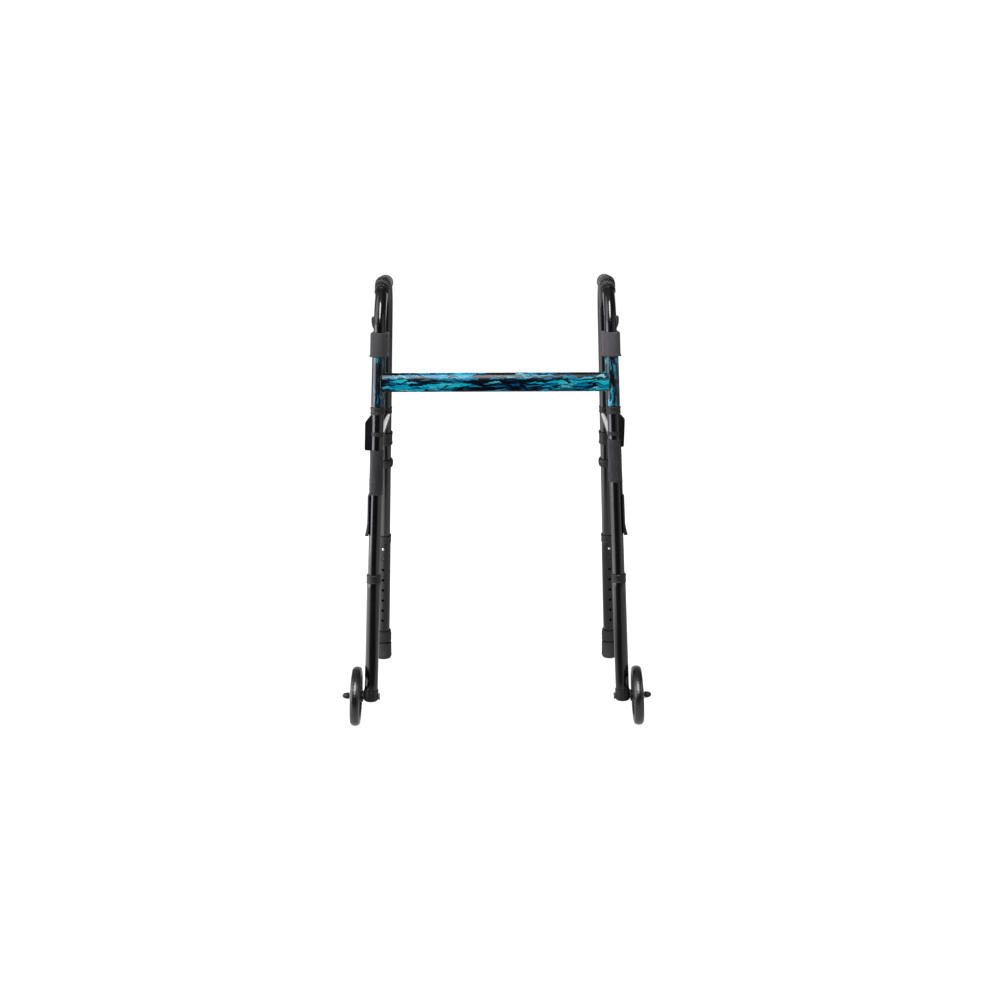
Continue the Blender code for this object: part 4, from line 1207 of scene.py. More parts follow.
def make_wrap(name, s):
    """Strip of webbing wound round the leg, its end lapped over and stitched down."""
    mx = M_SIDE[name]
    z0, z1 = WRAP_Z[name]
    rng = np.random.default_rng(11 if s > 0 else 12)
    ph = rng.uniform(0, 6.28, 12)
    steps, rows_n = 150, 120
    lap = math.radians(95)           # end of the strip lies on the first turn
    turn = 2 * math.pi + lap
    start_a = math.radians(200) if s > 0 else math.radians(-20)
    thick = 0.0011

    def radius(t, h):
        """Inner radius at turn angle t and height h, with soft puckers."""
        lift = 0.0
        if t > 2 * math.pi - 0.25:
            k = min(1.0, (t - (2 * math.pi - 0.25)) / 0.25)
            lift = (thick + 0.0001) * k * k * (3 - 2 * k)
        hh = (h - z0) / (z1 - z0)
        puck = 0.00016 * math.sin(9 * t + ph[0] + 5 * hh) + 0.00014 * math.sin(
            4 * t + ph[1] - 9 * hh) + 0.00012 * math.sin(60 * hh + ph[2] + 2 * t)
        edge = 0.00025 * (math.exp(-(hh / 0.03) ** 2) + math.exp(-((1 - hh) / 0.03) ** 2))
        return 0.01285 + 0.00025 + puck + edge + lift

    p = Piece()
    ts = np.linspace(0, turn, steps)
    hs = np.linspace(z0, z1, rows_n)

    def edge_wave(t, top):
        return 0.0004 * math.sin(3 * t + ph[3 + top]) + 0.0002 * math.sin(11 * t + ph[5 + top])

    skins = []
    for outer in (0, 1):
        rows, maps = [], []
        for i, h in enumerate(hs):
            row, mp = [], []
            f = i / (rows_n - 1)
            for t in ts:
                r = radius(t, h) + (thick if outer else 0.0)
                # the edges are rounded over
                e = min(f, 1 - f) * (z1 - z0)
                if e < 0.0006 and outer:
                    r -= thick * 0.35 * (1 - e / 0.0006)
                hh = h + (edge_wave(t, 0) + 0.0006) * (1 - f) ** 8 \
                    - (0.0006 - edge_wave(t, 1)) * f ** 8
                a = start_a + s * t
                row.append((r * math.cos(a), r * math.sin(a), hh))
                mp.append((t * 0.0136, h))
            rows.append(row)
            maps.append(mp)
        skins.append(p.rows(rows, maps, False, False, bool(outer) ^ (s > 0)))
    (a0, c), (b0, _) = skins
    last = (rows_n - 1) * c
    for j in range(c - 1):
        p.f.append((a0 + j, a0 + j + 1, b0 + j + 1, b0 + j))
        p.f.append((a0 + last + j, b0 + last + j, b0 + last + j + 1, a0 + last + j + 1))
    for i in range(rows_n - 1):
        for col in (0, c - 1):
            p.f.append((a0 + i * c + col, b0 + i * c + col, b0 + (i + 1) * c + col,
                        a0 + (i + 1) * c + col))
    ob = add("leg_wrap_webbing_" + name, p.mesh("wrap"), MATS["wrap"], mx, 50)
    finish_piece(ob, "side_frame_" + name, ["leg_wrap_" + name])
    if s > 0:
        # the wrap's rear edge is cut round the brace
        cut = bar_cutter("notch", BRACE_R + 0.0008, 0.0, 0.08,
                         mx @ shift(0, 0, BRACE_FRONT_W) @ rx(-math.pi / 2), 48)
        ob.parent = None
        ob.matrix_world = mx
        carve(ob, [cut], 50)
        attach(ob, "side_frame_" + name)
    # stitches along the lapped end and both edges
    st = []

    def stitch(t_a, h_a, t_b, h_b):
        run = []
        for k in range(7):
            f = k / 6
            t, h = t_a + (t_b - t_a) * f, h_a + (h_b - h_a) * f
            r = radius(t, h) + thick + 0.00022 * math.sin(math.pi * f) - 0.00006
            a = start_a + s * t
            run.append((r * math.cos(a), r * math.sin(a), h))
        st.append(bead(run, 0.00022, 6, False))

    h = z0 + 0.004
    while h < z1 - 0.006:
        for off in (0.16, 0.30):
            stitch(turn - off, h, turn - off, h + 0.0024)
        h += 0.0034
    t = lap + 0.12
    while t < turn - 0.45:
        for hh in (z0 + 0.0032, z1 - 0.0032):
            stitch(t, hh, t + 0.17, hh)
        t += 0.245
    o2 = merged("wrap_stitches_" + name, st, MATS["thread"], mx, 60)
    finish_piece(o2, "side_frame_" + name, ())


def make_strap(name, s):
    """Webbing end below the wrap: it hugs the leg, then folds open and kicks out at its tip."""
    mx = M_SIDE[name]
    top, tip = WRAP_Z[name][0] + 0.0030, 0.4092
    # where it leaves the leg, where it is clear of the raised collar, where it kicks out
    lip, clear, kick = (0.4985, 0.4925, 0.4380) if s > 0 else (0.5000, 0.4930, 0.4380)
    reach = 0.0050 if s > 0 else 0.0038
    half, thick = 0.0100, 0.0010
    cols, n = 41, 72
    rng = np.random.default_rng(5 if s > 0 else 6)
    ph = rng.uniform(0, 6.28, 4)

    def ease(f):
        f = min(1.0, max(0.0, f))
        return 3 * f * f - 2 * f ** 3

    def section(w):
        """Outboard place of the middle and of the edges, and half the width, at height w."""
        off = ease((lip - w) / (lip - clear))
        under = ease((top - w) / 0.006)
        mid = 0.0144 - 0.0006 * under + 0.0027 * off
        if w < kick:
            mid += reach * ((kick - w) / (kick - tip)) ** 1.5
        edge = 0.0100 + 0.0029 * off
        return mid, edge, 0.0094 + 0.0006 * off

    def point(w, x, d):
        """x runs from -1, the front edge, to 1; d is the height above the middle."""
        mid, edge, hu = section(w)
        sway = 0.00022 * math.sin(2.6 * x + ph[0] + 40 * (top - w)) * min(1.0, (top - w) / 0.03)
        v = mid - (mid - edge) * x * x + sway
        u = hu * x
        slope = Vector((1.0, 2 * (mid - edge) * x / hu, 0.0)).normalized()
        return s * (v + slope.x * d), u + slope.y * d, w

    p = Piece()
    skins = []
    ws = [top + (tip - top) * i / (n - 1) for i in range(n)]
    for sign in (-1, 1):
        rows, maps = [], []
        for i, w in enumerate(ws):
            row, mp = [], []
            for j in range(cols):
                x = -1 + 2 * j / (cols - 1)
                edge = 1 - max(0.0, (abs(x) - 0.90) / 0.10) ** 2 * 0.55
                rib = 0.00006 * math.cos(x * 40)
                end = 0.0012 * abs(x) ** 4 * max(0.0, (i - (n - 5)) / 4)
                row.append(point(w + end, x, sign * (thick / 2 * edge + rib)))
                mp.append((x * half, top - w))
            rows.append(row)
            maps.append(mp)
        skins.append(p.rows(rows, maps, False, False, (sign > 0) ^ (s > 0)))
    (a0, c), (b0, _) = skins
    for j in range(c - 1):
        p.f.append((a0 + j, a0 + j + 1, b0 + j + 1, b0 + j))
        p.f.append((a0 + (n - 1) * c + j, b0 + (n - 1) * c + j, b0 + (n - 1) * c + j + 1,
                    a0 + (n - 1) * c + j + 1))
    for i in range(n - 1):
        for col in (0, c - 1):
            p.f.append((a0 + i * c + col, b0 + i * c + col, b0 + (i + 1) * c + col,
                        a0 + (i + 1) * c + col))
    ob = add("strap_end_webbing_" + name, p.mesh("strap"), MATS["strap"], mx, 50)
    finish_piece(ob, "side_frame_" + name, ["strap_tail_" + name])
    mids = [Vector(point(w, 0, 0)) for w in ws]
    # two rows of stitches near the tip, two below the wrap
    st = []
    for f in (0.90, 0.965, 0.10, 0.16):
        w = top + (tip - top) * f
        for k in range(9):
            x = -0.82 + 1.64 * k / 8
            st.append(bead([point(w, x + 0.14 * q / 4, thick / 2 + 0.00002
                                  + 0.00018 * math.sin(math.pi * q / 4)) for q in range(5)],
                           0.00020, 6, False))
    o2 = merged("strap_stitches_" + name, st, MATS["thread"], mx, 60)
    finish_piece(o2, "side_frame_" + name, ())


def make_release(name, s):
    """Push pad in the tube's slot: flat top end, crowned face that falls to its lower end."""
    mx = M_SIDE[name] @ shift(0, 0, BUTTON_W)
    v0, v1 = BUTTON_V
    h = BUTTON_H / 2
    # drawn in v and w, thick along u
    side = [(v0, -h), (v0 + 0.0042, -h)]
    for k in range(13):
        f = k / 12
        w = -h + 0.0012 + (2 * h - 0.0040) * f
        v = v0 + 0.0046 + (v1 - v0 - 0.0046) * math.sin(math.pi / 2 * min(1.0, f * 1.35)) ** 0.8
        side.append((v, w))
    side += [(v1 - 0.0008, h - 0.0010), (v1 - 0.0020, h), (v0, h)]
    lay = mx @ Matrix(((s, 0, 0, 0), (0, 0, 1, 0), (0, 1, 0, 0), (0, 0, 0, 1)))
    t = BUTTON_T / 2
    ob = add("release_button_pad_" + name,
             levels_piece(side, round_levels(-t, t, 0.0016, 5)).mesh("release"),
             MATS["collar"], lay, 40)
    # three grip grooves across the face
    cutters = []
    for k in (-0.004, 0.0, 0.004):
        c = lathe_piece([(0, 0.010), (0.0006, 0.010), (0.0006, -0.010), (0, -0.010)], 16, False)
        o = bpy.data.objects.new("groove", c.mesh("groove"))
        bpy.context.scene.collection.objects.link(o)
        o.matrix_world = mx @ shift(s * (v1 + 0.00018), 0, k + 0.002) @ rx(math.pi / 2)
        cutters.append(o)
    carve(ob, cutters, 40)
    finish_piece(ob, "release_" + name, ["release_button_" + name])


def make_snaps(name, s):
    prof = [(0.0, 0.0168)]
    for k in range(1, 9):
        a = math.pi / 2 * k / 8
        prof.append((PIN_R * math.sin(a), 0.0144 + 0.0024 * math.cos(a)))
    prof += [(PIN_R, 0.0098), (PIN_R + 0.0004, 0.0092), (0.0046, 0.0092), (0.0048, 0.0090),
             (0.0048, 0.0082), (0.0046, 0.0080), (0.0, 0.0080)]
    back = Vector((0, 1, 0))
    ahead = Vector((s * math.sin(PIN_TURN), -math.cos(PIN_TURN), 0))
    for where, mx, w, d in (("front", M_SIDE[name], PIN_W, back),
                            ("rear", M_REAR[name], rear_t(PIN_W), ahead)):
        ob = add("snap_pin_%s_%s" % (where, name), lathe_piece(prof, 40, False).mesh("pin"),
                 MATS["steel"], mx @ shift(0, 0, w) @ toward(d), 40)
        finish_piece(ob, "snap_%s_%s" % (where, name), ["snap_button_%s_%s" % (where, name)])


# ---------------------------------------------------------------- lower legs
def lower_tube(label, name, mx, z0, z1, holes, direction, body, node, extra=()):
    marks = sorted(set([z0, z0 + 0.0006, z1 - 0.0006, z1]
                       + [h + d for h in holes for d in (-0.0055, 0.0055)]))
    prof = [(LOWER_R - (0.0004 if z in (z0, z1) else 0.0), z) for z in reversed(marks)]
    prof += [(LOWER_RI, z) for z in marks]
    ob = add(label + "_" + name, lathe_piece(prof, 64).mesh("leg"),
             MATS["tube_rear" if "rear" in label else "tube_low"], mx)
    cutters = [bar_cutter("h", HOLE_R, 0.010, 0.018, mx @ shift(0, 0, h) @ toward(direction), 28)
               for h in holes] + list(extra)
    carve(ob, cutters)
    finish_piece(ob, body, [node])


def leg_collar(label, name, mx, z0, z1, top, body, node):
    """Moulded bushing over the lower leg's mouth: flange, waist and skirt."""
    r = COLLAR_R
    prof = fillet([(FIT_R, z1), (r - 0.0006, z1), (r, z1 - 0.0012), (r, z1 - 0.0050),
                   (r - 0.0004, z1 - 0.0054), (r - 0.0004, z0 + 0.0020), (r, z0 + 0.0016),
                   (r, z0), (SKIRT_R, z0), (SKIRT_R, top + 0.0003), (FIT_R, top + 0.0003)],
                  [0.0003, 0.0005, 0.0005, 0.0003, 0.0002, 0.0002, 0.0003, 0.0004, 0, 0, 0], 3)
    ob = add(label + "_" + name, lathe_piece(prof, 64).mesh("collar"), MATS["collar"], mx)
    finish_piece(ob, body, [node])


def make_front_leg(name, s):
    mx, wx = M_SIDE[name], M_WHEEL[name]
    body = "front_lower_leg_" + name
    holes = [PIN_W - k * HOLE_PITCH for k in range(HOLE_COUNT)]
    lower_tube("front_leg_outer_tube", name, mx, FRONT_END, FRONT_TOP, holes,
               Vector((0, 1, 0)), body, "front_leg_tube_" + name,
               [bar_cutter("axle", AXLE_BORE, -0.022, 0.022, wx, 32)])
    leg_collar("front_leg_collar_ring", name, mx, FRONT_COLLAR_Z[0], FRONT_COLLAR_Z[1],
               FRONT_TOP, body, "front_leg_collar_" + name)
    z0, z1 = CAP_Z
    r = CAP_R
    prof = [(0.0, FRONT_END - 0.0003), (SKIRT_R, FRONT_END - 0.0003)]
    prof += fillet([(SKIRT_R, z1 - 0.001), (SKIRT_R, z1), (r - 0.0002, z1), (r - 0.0002, z1 - 0.0030),
                    (r, z1 - 0.0034), (r, z0 + 0.0030), (r - 0.0030, z0), (0.004, z0)],
                   [0, 0.0002, 0.0004, 0.0002, 0.0002, 0.0020, 0.0016, 0], 4)
    prof.append((0.0, z0))
    ob = add("front_leg_end_cap_" + name, lathe_piece(prof, 64, False).mesh("cap"),
             MATS["plastic"], mx)
    carve(ob, [bar_cutter("axle", AXLE_BORE, -0.022, 0.022, wx, 32)])
    finish_piece(ob, body, ["front_leg_cap_" + name])
    # axle bolt: hex head inboard, washer face, plain shank and a threaded end
    head = levels_piece([(0.0072 * math.cos(math.radians(60 * k + 30)),
                          0.0072 * math.sin(math.radians(60 * k + 30))) for k in range(6)],
                        [(-0.0190, 0.0007), (-0.0186, 0.0), (-0.0166, 0.0), (-0.0163, 0.0003)])
    face = lathe_piece(fillet([(0.0, -0.01635), (0.0068, -0.01635), (0.0068, -0.0161),
                               (0.0, -0.0161)], [0] * 4), 40, False)
    prof = [(0.0, 0.0562), (0.0031, 0.0562), (0.0038, 0.0556)]
    z = 0.0553
    while z > 0.0458:
        prof += [(AXLE_R, z), (AXLE_R - 0.0004, z - 0.0005)]
        z -= 0.0010
    prof += [(AXLE_R, 0.0454), (AXLE_R, -0.0160), (0.0, -0.0160)]
    ob = merged("wheel_axle_bolt_" + name, [head, face, lathe_piece(prof, 40, False)],
                MATS["bolt"], wx, 30)
    finish_piece(ob, body, ["wheel_axle_" + name])
    prof = fillet([(AXLE_BORE, 0.0198), (0.0105, 0.0198), (0.0118, 0.0186), (0.0120, 0.0176),
                   (0.0120, 0.0162), (AXLE_BORE, 0.0162)], [0.0002, 0.0004, 0.0004, 0.0003, 0.0004,
                                                            0.0002], 3)
    ob = add("axle_spacer_boss_" + name, lathe_piece(prof, 56).mesh("spacer"), MATS["plastic"], wx)
    finish_piece(ob, body, ["axle_spacer_" + name])
    # acorn nut on a thin washer
    hexa = levels_piece([(0.0073 * math.cos(math.radians(60 * k)),
                          0.0073 * math.sin(math.radians(60 * k))) for k in range(6)],
                        [(0.0468, 0.0006), (0.0472, 0.0), (0.0514, 0.0), (0.0519, 0.0007)])
    washer = lathe_piece(fillet([(0.0, 0.0468), (0.0075, 0.0468), (0.0075, 0.0459), (0.0, 0.0459)],
                                [0, 0.0002, 0.0002, 0], 3), 48, False)
    prof = [(0.0, 0.0611)]
    for k in range(1, 11):
        a = math.pi / 2 * k / 10
        prof.append((0.0063 * math.sin(a), 0.0530 + 0.0081 * math.cos(a)))
    prof += [(0.0063, 0.0517), (0.0, 0.0517)]
    ob = merged("axle_acorn_nut_" + name, [washer, hexa, lathe_piece(prof, 48, False)],
                MATS["plastic"], wx, 32)
    carve(ob, [bar_cutter("bore", AXLE_BORE, 0.041, 0.0569, wx, 32)], 32)
    finish_piece(ob, body, ["axle_nut_" + name])


def make_wheel(name, s):
    wx = M_WHEEL[name]
    v0, v1 = TYRE_V
    h0, h1 = HUB_V
    body = "wheel_" + name
    mid = (v0 + v1) / 2
    # hub: rim, dished web with windows, ribs and a boss that stands out of the outer face
    ri = TYRE_RI - 0.0003
    prof = fillet([(0.0458, v1 - 0.0008), (ri, v1 - 0.0008), (ri, mid + 0.0040),
                   (ri - 0.0007, mid + 0.0036), (ri - 0.0007, mid - 0.0036), (ri, mid - 0.0040),
                   (ri, v0 + 0.0008), (0.0458, v0 + 0.0008), (0.0440, mid - 0.0020),
                   (0.0130, mid - 0.0024), (0.0115, h0 + 0.0001), (AXLE_BORE, h0 + 0.0001),
                   (AXLE_BORE, h1), (0.0108, h1), (0.0119, h1 - 0.0012), (0.0119, h1 - 0.0046),
                   (0.0112, h1 - 0.0052), (0.0116, mid + 0.0040), (0.0134, mid + 0.0024),
                   (0.0440, mid + 0.0020)],
                  [0.0006, 0.0006, 0.0002, 0, 0, 0.0002, 0.0006, 0.0006, 0.0018, 0.0016, 0.0008,
                   0.0004, 0.0004, 0.0006, 0.0006, 0.0002, 0.0002, 0.0006, 0.0016, 0.0018], 4)
    ob = add("wheel_hub_moulded_" + name, lathe_piece(prof, 96).mesh("hub"), MATS["hub"], wx, 32)
    cutters = []
    for k in range(6):
        a0, a1 = math.radians(60 * k + 12), math.radians(60 * k + 48)
        pts = [(r_ * math.cos(a_), r_ * math.sin(a_))
               for r_, a_ in ((0.0190, a0 + 0.10), (0.0290, a0 + 0.03), (0.0385, a0))]
        for q in range(1, 8):
            a_ = a0 + (a1 - a0) * q / 8
            pts.append((0.0385 * math.cos(a_), 0.0385 * math.sin(a_)))
        pts += [(r_ * math.cos(a_), r_ * math.sin(a_))
                for r_, a_ in ((0.0385, a1), (0.0290, a1 - 0.03), (0.0190, a1 - 0.10))]
        cutters.append(outline_cutter("win", pts, mid - 0.008, mid + 0.008, wx))
    carve(ob, cutters, 32)
    finish_piece(ob, body, ["wheel_hub_" + name])
    ribs = []
    for k in range(6):
        a = math.radians(60 * k)
        rib = [(0.0112, -0.0011), (0.0450, -0.0009), (0.0450, 0.0009), (0.0112, 0.0011)]
        pts = fillet(rib, [0.0003] * 4, 2)
        pts = [(x * math.cos(a) - y * math.sin(a), x * math.sin(a) + y * math.cos(a))
               for x, y in pts]
        ribs.append(levels_piece(pts, [(mid - 0.0070, 0.0003), (mid - 0.0067, 0.0),
                                       (mid + 0.0067, 0.0), (mid + 0.0070, 0.0003)]))
    ob = merged("wheel_hub_ribs_" + name, ribs, MATS["hub"], wx, 32)
    finish_piece(ob, body, ())
    # tyre: round crown, a fine groove on each shoulder and a bead line on the wall
    r = TYRE_R
    half = (v1 - v0) / 2
    top = []
    for k in range(25):
        a = math.pi / 2 * k / 24
        z = half * math.sin(a) ** 0.98
        rad = r - 0.0092 + 0.0092 * math.cos(a) ** 0.62
        if 9 <= k <= 10:
            rad -= 0.0005
        top.append((rad, z))
    wall = [(r - 0.0100, half), (r - 0.0112, half - 0.0004), (TYRE_RI, half - 0.0007)]
    prof = [(q, mid + z) for q, z in reversed(wall)] + [(q, mid + z) for q, z in reversed(top)] \
        + [(q, mid - z) for q, z in top[1:]] + [(q, mid - z) for q, z in wall]

    def tread(a, k):
        if prof[k][0] > r - 0.0004:
            return -0.00016 * (0.5 + 0.5 * math.cos(60 * a)) ** 6
        return 0.0

    ob = add("wheel_tyre_tread_" + name, lathe_piece(prof, 240, True, tread).mesh("tyre"),
             MATS["tyre"], wx, 50)
    finish_piece(ob, body, ["wheel_tyre_" + name])


def make_rear_leg(name, s):
    mx = M_REAR[name]
    body = "rear_lower_leg_" + name
    ahead = Vector((s * math.sin(PIN_TURN), -math.cos(PIN_TURN), 0))
    holes = [rear_t(PIN_W) - k * HOLE_PITCH for k in range(HOLE_COUNT)]
    lower_tube("rear_leg_outer_tube", name, mx, rear_t(0.0560), rear_t(REAR_TOP_Z), holes, ahead,
               body, "rear_leg_tube_" + name)
    leg_collar("rear_leg_collar_ring", name, mx, rear_t(REAR_COLLAR_Z[0]), rear_t(REAR_COLLAR_Z[1]),
               rear_t(REAR_TOP_Z), body, "rear_leg_collar_" + name)
    # rubber tip: tapered neck with two rings, cut level above the glide
    top, seat = rear_t(TIP_TOP), rear_t(0.0560) - 0.0003
    prof = [(0.0, seat), (SKIRT_R, seat)]
    prof += fillet([(SKIRT_R, top - 0.001), (SKIRT_R, top), (0.0165, top), (0.0176, top - 0.0026),
                    (0.0168, top - 0.0034), (0.0170, top - 0.0056), (0.0180, top - 0.0066),
                    (TIP_R, top - 0.0096), (TIP_R, 0.024), (0.002, 0.024)],
                   [0, 0.0003, 0.0008, 0.0006, 0.0004, 0.0005, 0.0006, 0.0010, 0, 0], 4)
    prof.append((0.0, 0.024))
    ob = add("rear_tip_rubber_" + name, lathe_piece(prof, 72, False).mesh("tip"), MATS["rubber"],
             mx, 35)
    foot = M_SIDE[name] @ Vector((0, REAR_U0 - REAR_SLOPE * 0.045, 0.045))
    below = levels_piece([(-0.06, -0.06), (0.06, -0.06), (0.06, 0.06), (-0.06, 0.06)],
                         [(-0.05, 0), (TIP_BOTTOM, 0)])
    cut = bpy.data.objects.new("level", below.mesh("level"))
    bpy.context.scene.collection.objects.link(cut)
    cut.matrix_world = shift(foot.x, foot.y, 0)
    bpy.context.view_layer.update()
    carve(ob, [cut], 35)
    finish_piece(ob, body, ["rear_tip_" + name])
    # glide cup: fluted wall between a plain rim and a rounded sole
    gt, gr = GLIDE_TOP, GLIDE_R
    prof = [(0.0, gt)] + fillet(
        [(0.004, gt), (gr - 0.0030, gt), (gr - 0.0030, gt - 0.0038), (gr - 0.0006, gt - 0.0040),
         (gr, gt - 0.0048), (gr, gt - 0.0070), (gr - 0.0005, gt - 0.0076),
         (gr - 0.0005, 0.0112), (gr, 0.0104), (gr - 0.0002, 0.0072),
         (gr - 0.0030, 0.0016), (gr - 0.0075, 0.0), (0.004, 0.0)],
        [0, 0, 0.0003, 0.0003, 0.0004, 0.0003, 0, 0, 0.0004, 0.0020, 0.0022, 0.0010, 0], 4) \
        + [(0.0, 0.0)]

    def flute(a, k):
        z = inner[k][1]
        if 0.0105 < z < gt - 0.0074 and inner[k][0] > gr - 0.001:
            return 0.00026 * math.cos(40 * a)
        return 0.0

    inner = prof[1:-1]
    ob = add("rear_glide_cup_" + name, lathe_piece(prof, 200, False, flute).mesh("glide"),
             MATS["glide"], shift(foot.x, foot.y, 0), 35)
    finish_piece(ob, body, ["rear_glide_" + name])


# ---------------------------------------------------------------- everything
make_front_frame()
for side_name, sign in SIDES:
    make_side_tube(side_name, sign)
    make_grip(side_name, sign)
    make_brace(side_name, sign)
    make_rings(side_name, sign)
    make_bracket(side_name, sign)
    make_wrap(side_name, sign)
    make_strap(side_name, sign)
    make_release(side_name, sign)
    make_snaps(side_name, sign)
    make_front_leg(side_name, sign)
    make_wheel(side_name, sign)
    make_rear_leg(side_name, sign)


# ---------------------------------------------------------------- floor, light, camera
def make_floor():
    """White studio floor that glows for the camera, a little less near the object as a painted
    contact shadow;
    what the object mirrors of it is a painted glow, brighter on the left and darker to the front, as
    in a studio that is open toward the camera."""
    p = Piece()
    n = 24
    x0, x1, y0, y1 = -12.0, 12.0, -1.40, 14.0
    rows = [[(x0 + (x1 - x0) * j / n, y0 + (y1 - y0) * i / n, 0.0) for j in range(n + 1)]
            for i in range(n + 1)]
    p.rows(rows, [[(x, y) for x, y, _ in r] for r in rows], False, False)
    m = Mat("studio_floor", 0.6)
    m.b.inputs["Specular IOR Level"].default_value = 0.0
    m.b.inputs["Emission Color"].default_value = (1, 1, 1, 1)
    seen = m.nt.nodes.new("ShaderNodeLightPath").outputs["Is Camera Ray"]
    x, y, _ = m.split(m.tc.outputs["Object"])
    # how far in front of the legs, and how far left of the lit side
    left = m.math("MAXIMUM", m.math("SUBTRACT", -0.25, x), 0.0)
    ahead = m.math("SUBTRACT", m.math("SUBTRACT", -0.26, y), m.math("MULTIPLY", left, 0.62))
    right = m.math("SUBTRACT", m.math("MULTIPLY_ADD", m.math("SUBTRACT", -0.213, y), 0.40, 0.30), x)
    # painted shade in front of the legs, seen in reflections and bounce
    dark = m.math("MULTIPLY", m.remap(ahead, 0.0, 0.16, 0.0, 1.0),
                  m.remap(right, 0.0, 0.25, 0.0, 1.0))
    # painted pool of light on the left, seen in reflections and bounce
    lit = m.math("MULTIPLY", m.remap(x, -0.45, -0.30, 1.9, 0.62), m.remap(y, 0.3, 1.2, 1.0, 0.28))
    lit = m.math("MULTIPLY", lit, m.remap(x, -6.0, -2.6, 0.30, 1.0))
    mirrored = m.math("MULTIPLY", lit, m.math("SUBTRACT", 1.0, m.math("MULTIPLY", dark, 0.97)))
    glow = m.nt.nodes.new("ShaderNodeMix")
    glow.data_type = "FLOAT"
    m.nt.links.new(seen, glow.inputs[0])
    m.nt.links.new(mirrored, glow.inputs[2])
    # for the camera the floor glows near white, less near the object: a painted contact shadow
    far = m.math("POWER", m.math("ADD", m.math("MULTIPLY", x, x), m.math("MULTIPLY", y, y)), 0.5)
    m.nt.links.new(m.remap(far, 0.7, 1.8, 0.88, 1.04), glow.inputs[3])
    m.nt.links.new(glow.outputs[0], m.b.inputs["Emission Strength"])
    # the floor's colour is near black for all rays but the camera's, so it bounces little light
    m.color(m.mix(seen, (0.05, 0.05, 0.05),
                  m.mix(m.noise(3.0, 3.0), (0.40, 0.40, 0.40), (0.46, 0.46, 0.46))))
    m.rough(m.remap(m.noise(8.0), 0.3, 0.7, 0.55, 0.65))
    ob = add("studio_floor", p.mesh("floor"), m.m, None, None)


def area(name, loc, target, sx, sy, radiance, color=(1, 1, 1)):
    """Soft panel, seen in reflections only; its brightness is given as radiance."""
    d = bpy.data.lights.new(name, "AREA")
    d.shape = "RECTANGLE"
    d.size, d.size_y = sx, sy
    d.energy = radiance * math.pi * sx * sy
    d.color = color
    ob = bpy.data.objects.new(name, d)
    bpy.context.scene.collection.objects.link(ob)
    ob.location = loc
    ob.rotation_euler = (Vector(target) - Vector(loc)).to_track_quat("-Z", "Y").to_euler()
    ob.visible_camera = False
    return ob


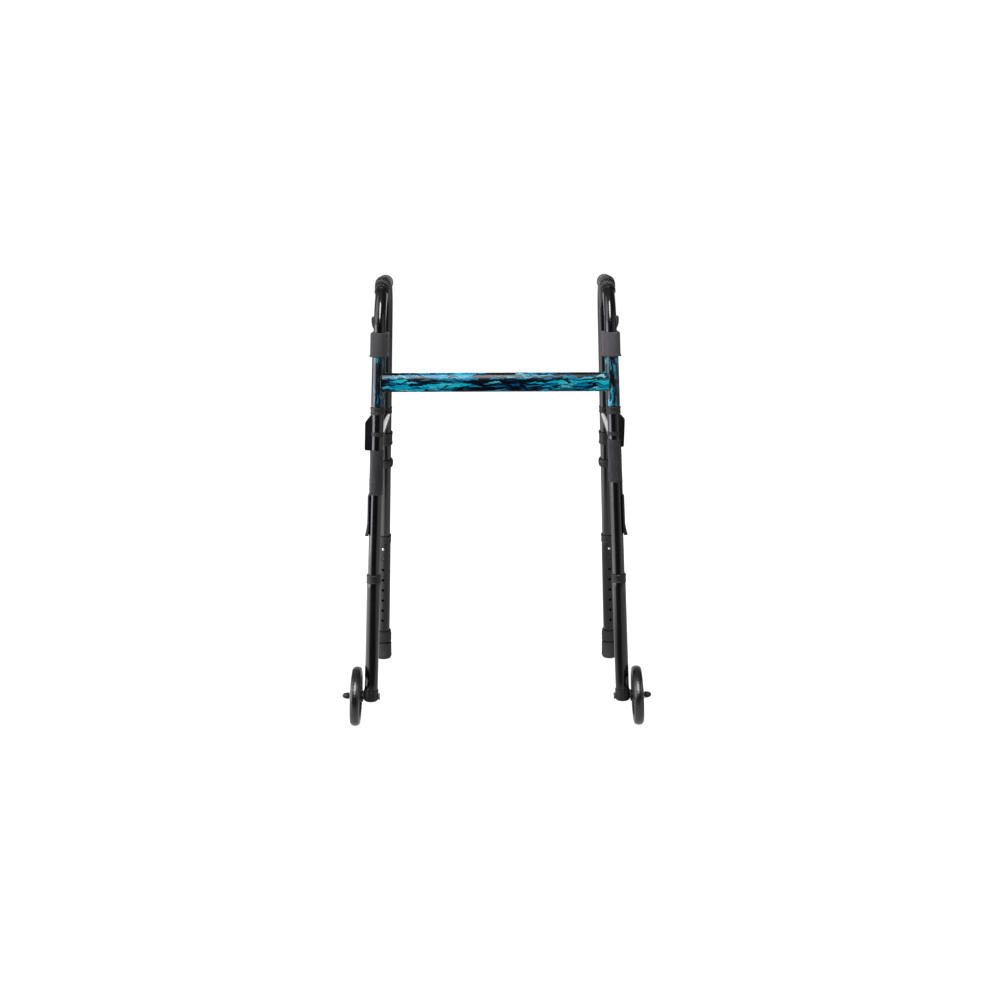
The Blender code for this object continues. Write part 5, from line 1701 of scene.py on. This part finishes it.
def make_light():
    w = bpy.data.worlds.new("studio")
    bpy.context.scene.world = w
    w.use_nodes = True
    nt = w.node_tree
    bg = nt.nodes["Background"]
    tc = nt.nodes.new("ShaderNodeTexCoord")
    sep = nt.nodes.new("ShaderNodeSeparateXYZ")
    nt.links.new(tc.outputs["Generated"], sep.inputs[0])

    def ramp(value, stops):
        n = nt.nodes.new("ShaderNodeValToRGB")
        n.color_ramp.interpolation = "EASE"
        els = n.color_ramp.elements
        while len(els) > 1:
            els.remove(els[-1])
        els[0].position, els[0].color = stops[0][0], (*[stops[0][1]] * 3, 1)
        for q, v in stops[1:]:
            e = els.new(q)
            e.color = (v, v, v, 1)
        nt.links.new(value, n.inputs[0])
        return n.outputs[0]

    def math_node(op, a, b):
        n = nt.nodes.new("ShaderNodeMath")
        n.operation = op
        for i, v in enumerate((a, b)):
            if isinstance(v, bpy.types.NodeSocket):
                nt.links.new(v, n.inputs[i])
            else:
                n.inputs[i].default_value = v
        return n.outputs[0]

    # open end of the studio is dark, its sides and sweep are white, its ceiling is dim
    along = math_node("MULTIPLY_ADD", sep.outputs[1], 0.5)
    along.node.inputs[2].default_value = 0.5
    depth = ramp(along, [(0.0, 0.03), (0.14, 0.035), (0.24, 0.45), (0.40, 0.80), (0.90, 1.0),
                         (1.0, 1.7)])
    up = math_node("MULTIPLY_ADD", sep.outputs[2], 0.5)
    up.node.inputs[2].default_value = 0.5
    high = ramp(up, [(0.0, 1.0), (0.52, 1.0), (0.60, 0.72), (0.68, 0.34), (1.0, 0.25)])
    level = math_node("MULTIPLY", depth, high)
    # the right front is dimmer than the left
    side = math_node("MULTIPLY_ADD", sep.outputs[0], 0.5)
    side.node.inputs[2].default_value = 0.5
    dim = math_node("MULTIPLY", ramp(side, [(0.0, 0.0), (0.50, 0.0), (0.64, 1.0), (1.0, 1.0)]),
                    ramp(along, [(0.0, 1.0), (0.58, 1.0), (0.80, 0.0), (1.0, 0.0)]))
    level = math_node("MULTIPLY", level, math_node("SUBTRACT", 1.0,
                                                   math_node("MULTIPLY", dim, 0.55)))
    # so is what lies behind and to either side
    sides = math_node("MULTIPLY", math_node("ABSOLUTE", sep.outputs[0], 0.0),
                      ramp(along, [(0.0, 0.0), (0.46, 0.0), (0.60, 1.0), (1.0, 1.0)]))
    level = math_node("MULTIPLY", level, math_node("SUBTRACT", 1.0,
                                                   math_node("MULTIPLY", sides, 0.85)))
    lp = nt.nodes.new("ShaderNodeLightPath")
    mx = nt.nodes.new("ShaderNodeMix")
    mx.data_type = "FLOAT"
    nt.links.new(level, mx.inputs[2])
    mx.inputs[3].default_value = 1.06
    nt.links.new(lp.outputs["Is Camera Ray"], mx.inputs[0])
    nt.links.new(mx.outputs[0], bg.inputs["Strength"])
    bg.inputs["Color"].default_value = (1, 1, 1, 1)
    # low panel on the left, tall key above the camera, dim panel on the right, top light
    area("panel_left", (-2.1, -0.78, 0.45), (-0.25, -0.78, 0.45), 2.05, 0.9, 3.8,
         (0.96, 0.93, 1.0))
    area("panel_left_high", (-2.1, -0.98, 1.95), (-0.25, -0.80, 1.1), 2.45, 1.9, 1.8,
         (0.97, 0.95, 1.0))
    area("panel_right", (1.45, -1.20, 0.75), (0.0, -0.2, 0.6), 1.7, 1.5, 0.25)
    # a lamp beside the camera that is only mirrored, and a soft key that only fills
    lamp = area("key_mirror", (-0.20, -2.55, 2.66), (0.0, -0.2, 0.88), 0.80, 2.2, 20.0)
    lamp.visible_diffuse = False
    fill = area("key_fill", (-0.85, -2.6, 4.2), (0.0, -0.2, 0.8), 1.4, 2.6, 5.6)
    fill.visible_glossy = False
    top = area("top_soft", (0.0, 1.2, 3.2), (0, 0, 0.4), 3.0, 2.4, 2.4)
    top.visible_glossy = False


def make_camera():
    d = bpy.data.cameras.new("camera")
    cam = bpy.data.objects.new("camera", d)
    bpy.context.scene.collection.objects.link(cam)
    d.sensor_fit = "HORIZONTAL"
    d.sensor_width = 36.0
    d.lens = 50.4
    d.shift_x = 0.0052
    d.shift_y = -0.1190
    d.clip_start, d.clip_end = 0.05, 60
    cam.location = (0.0, -2.9 + AXIS_Y, 1.0408)
    cam.rotation_euler = (math.radians(90 - 6.0), math.radians(0.25), 0.0)
    bpy.context.scene.camera = cam


make_floor()
make_light()
make_camera()
bpy.context.scene.view_settings.view_transform = "Standard"
bpy.context.scene.view_settings.look = "None"
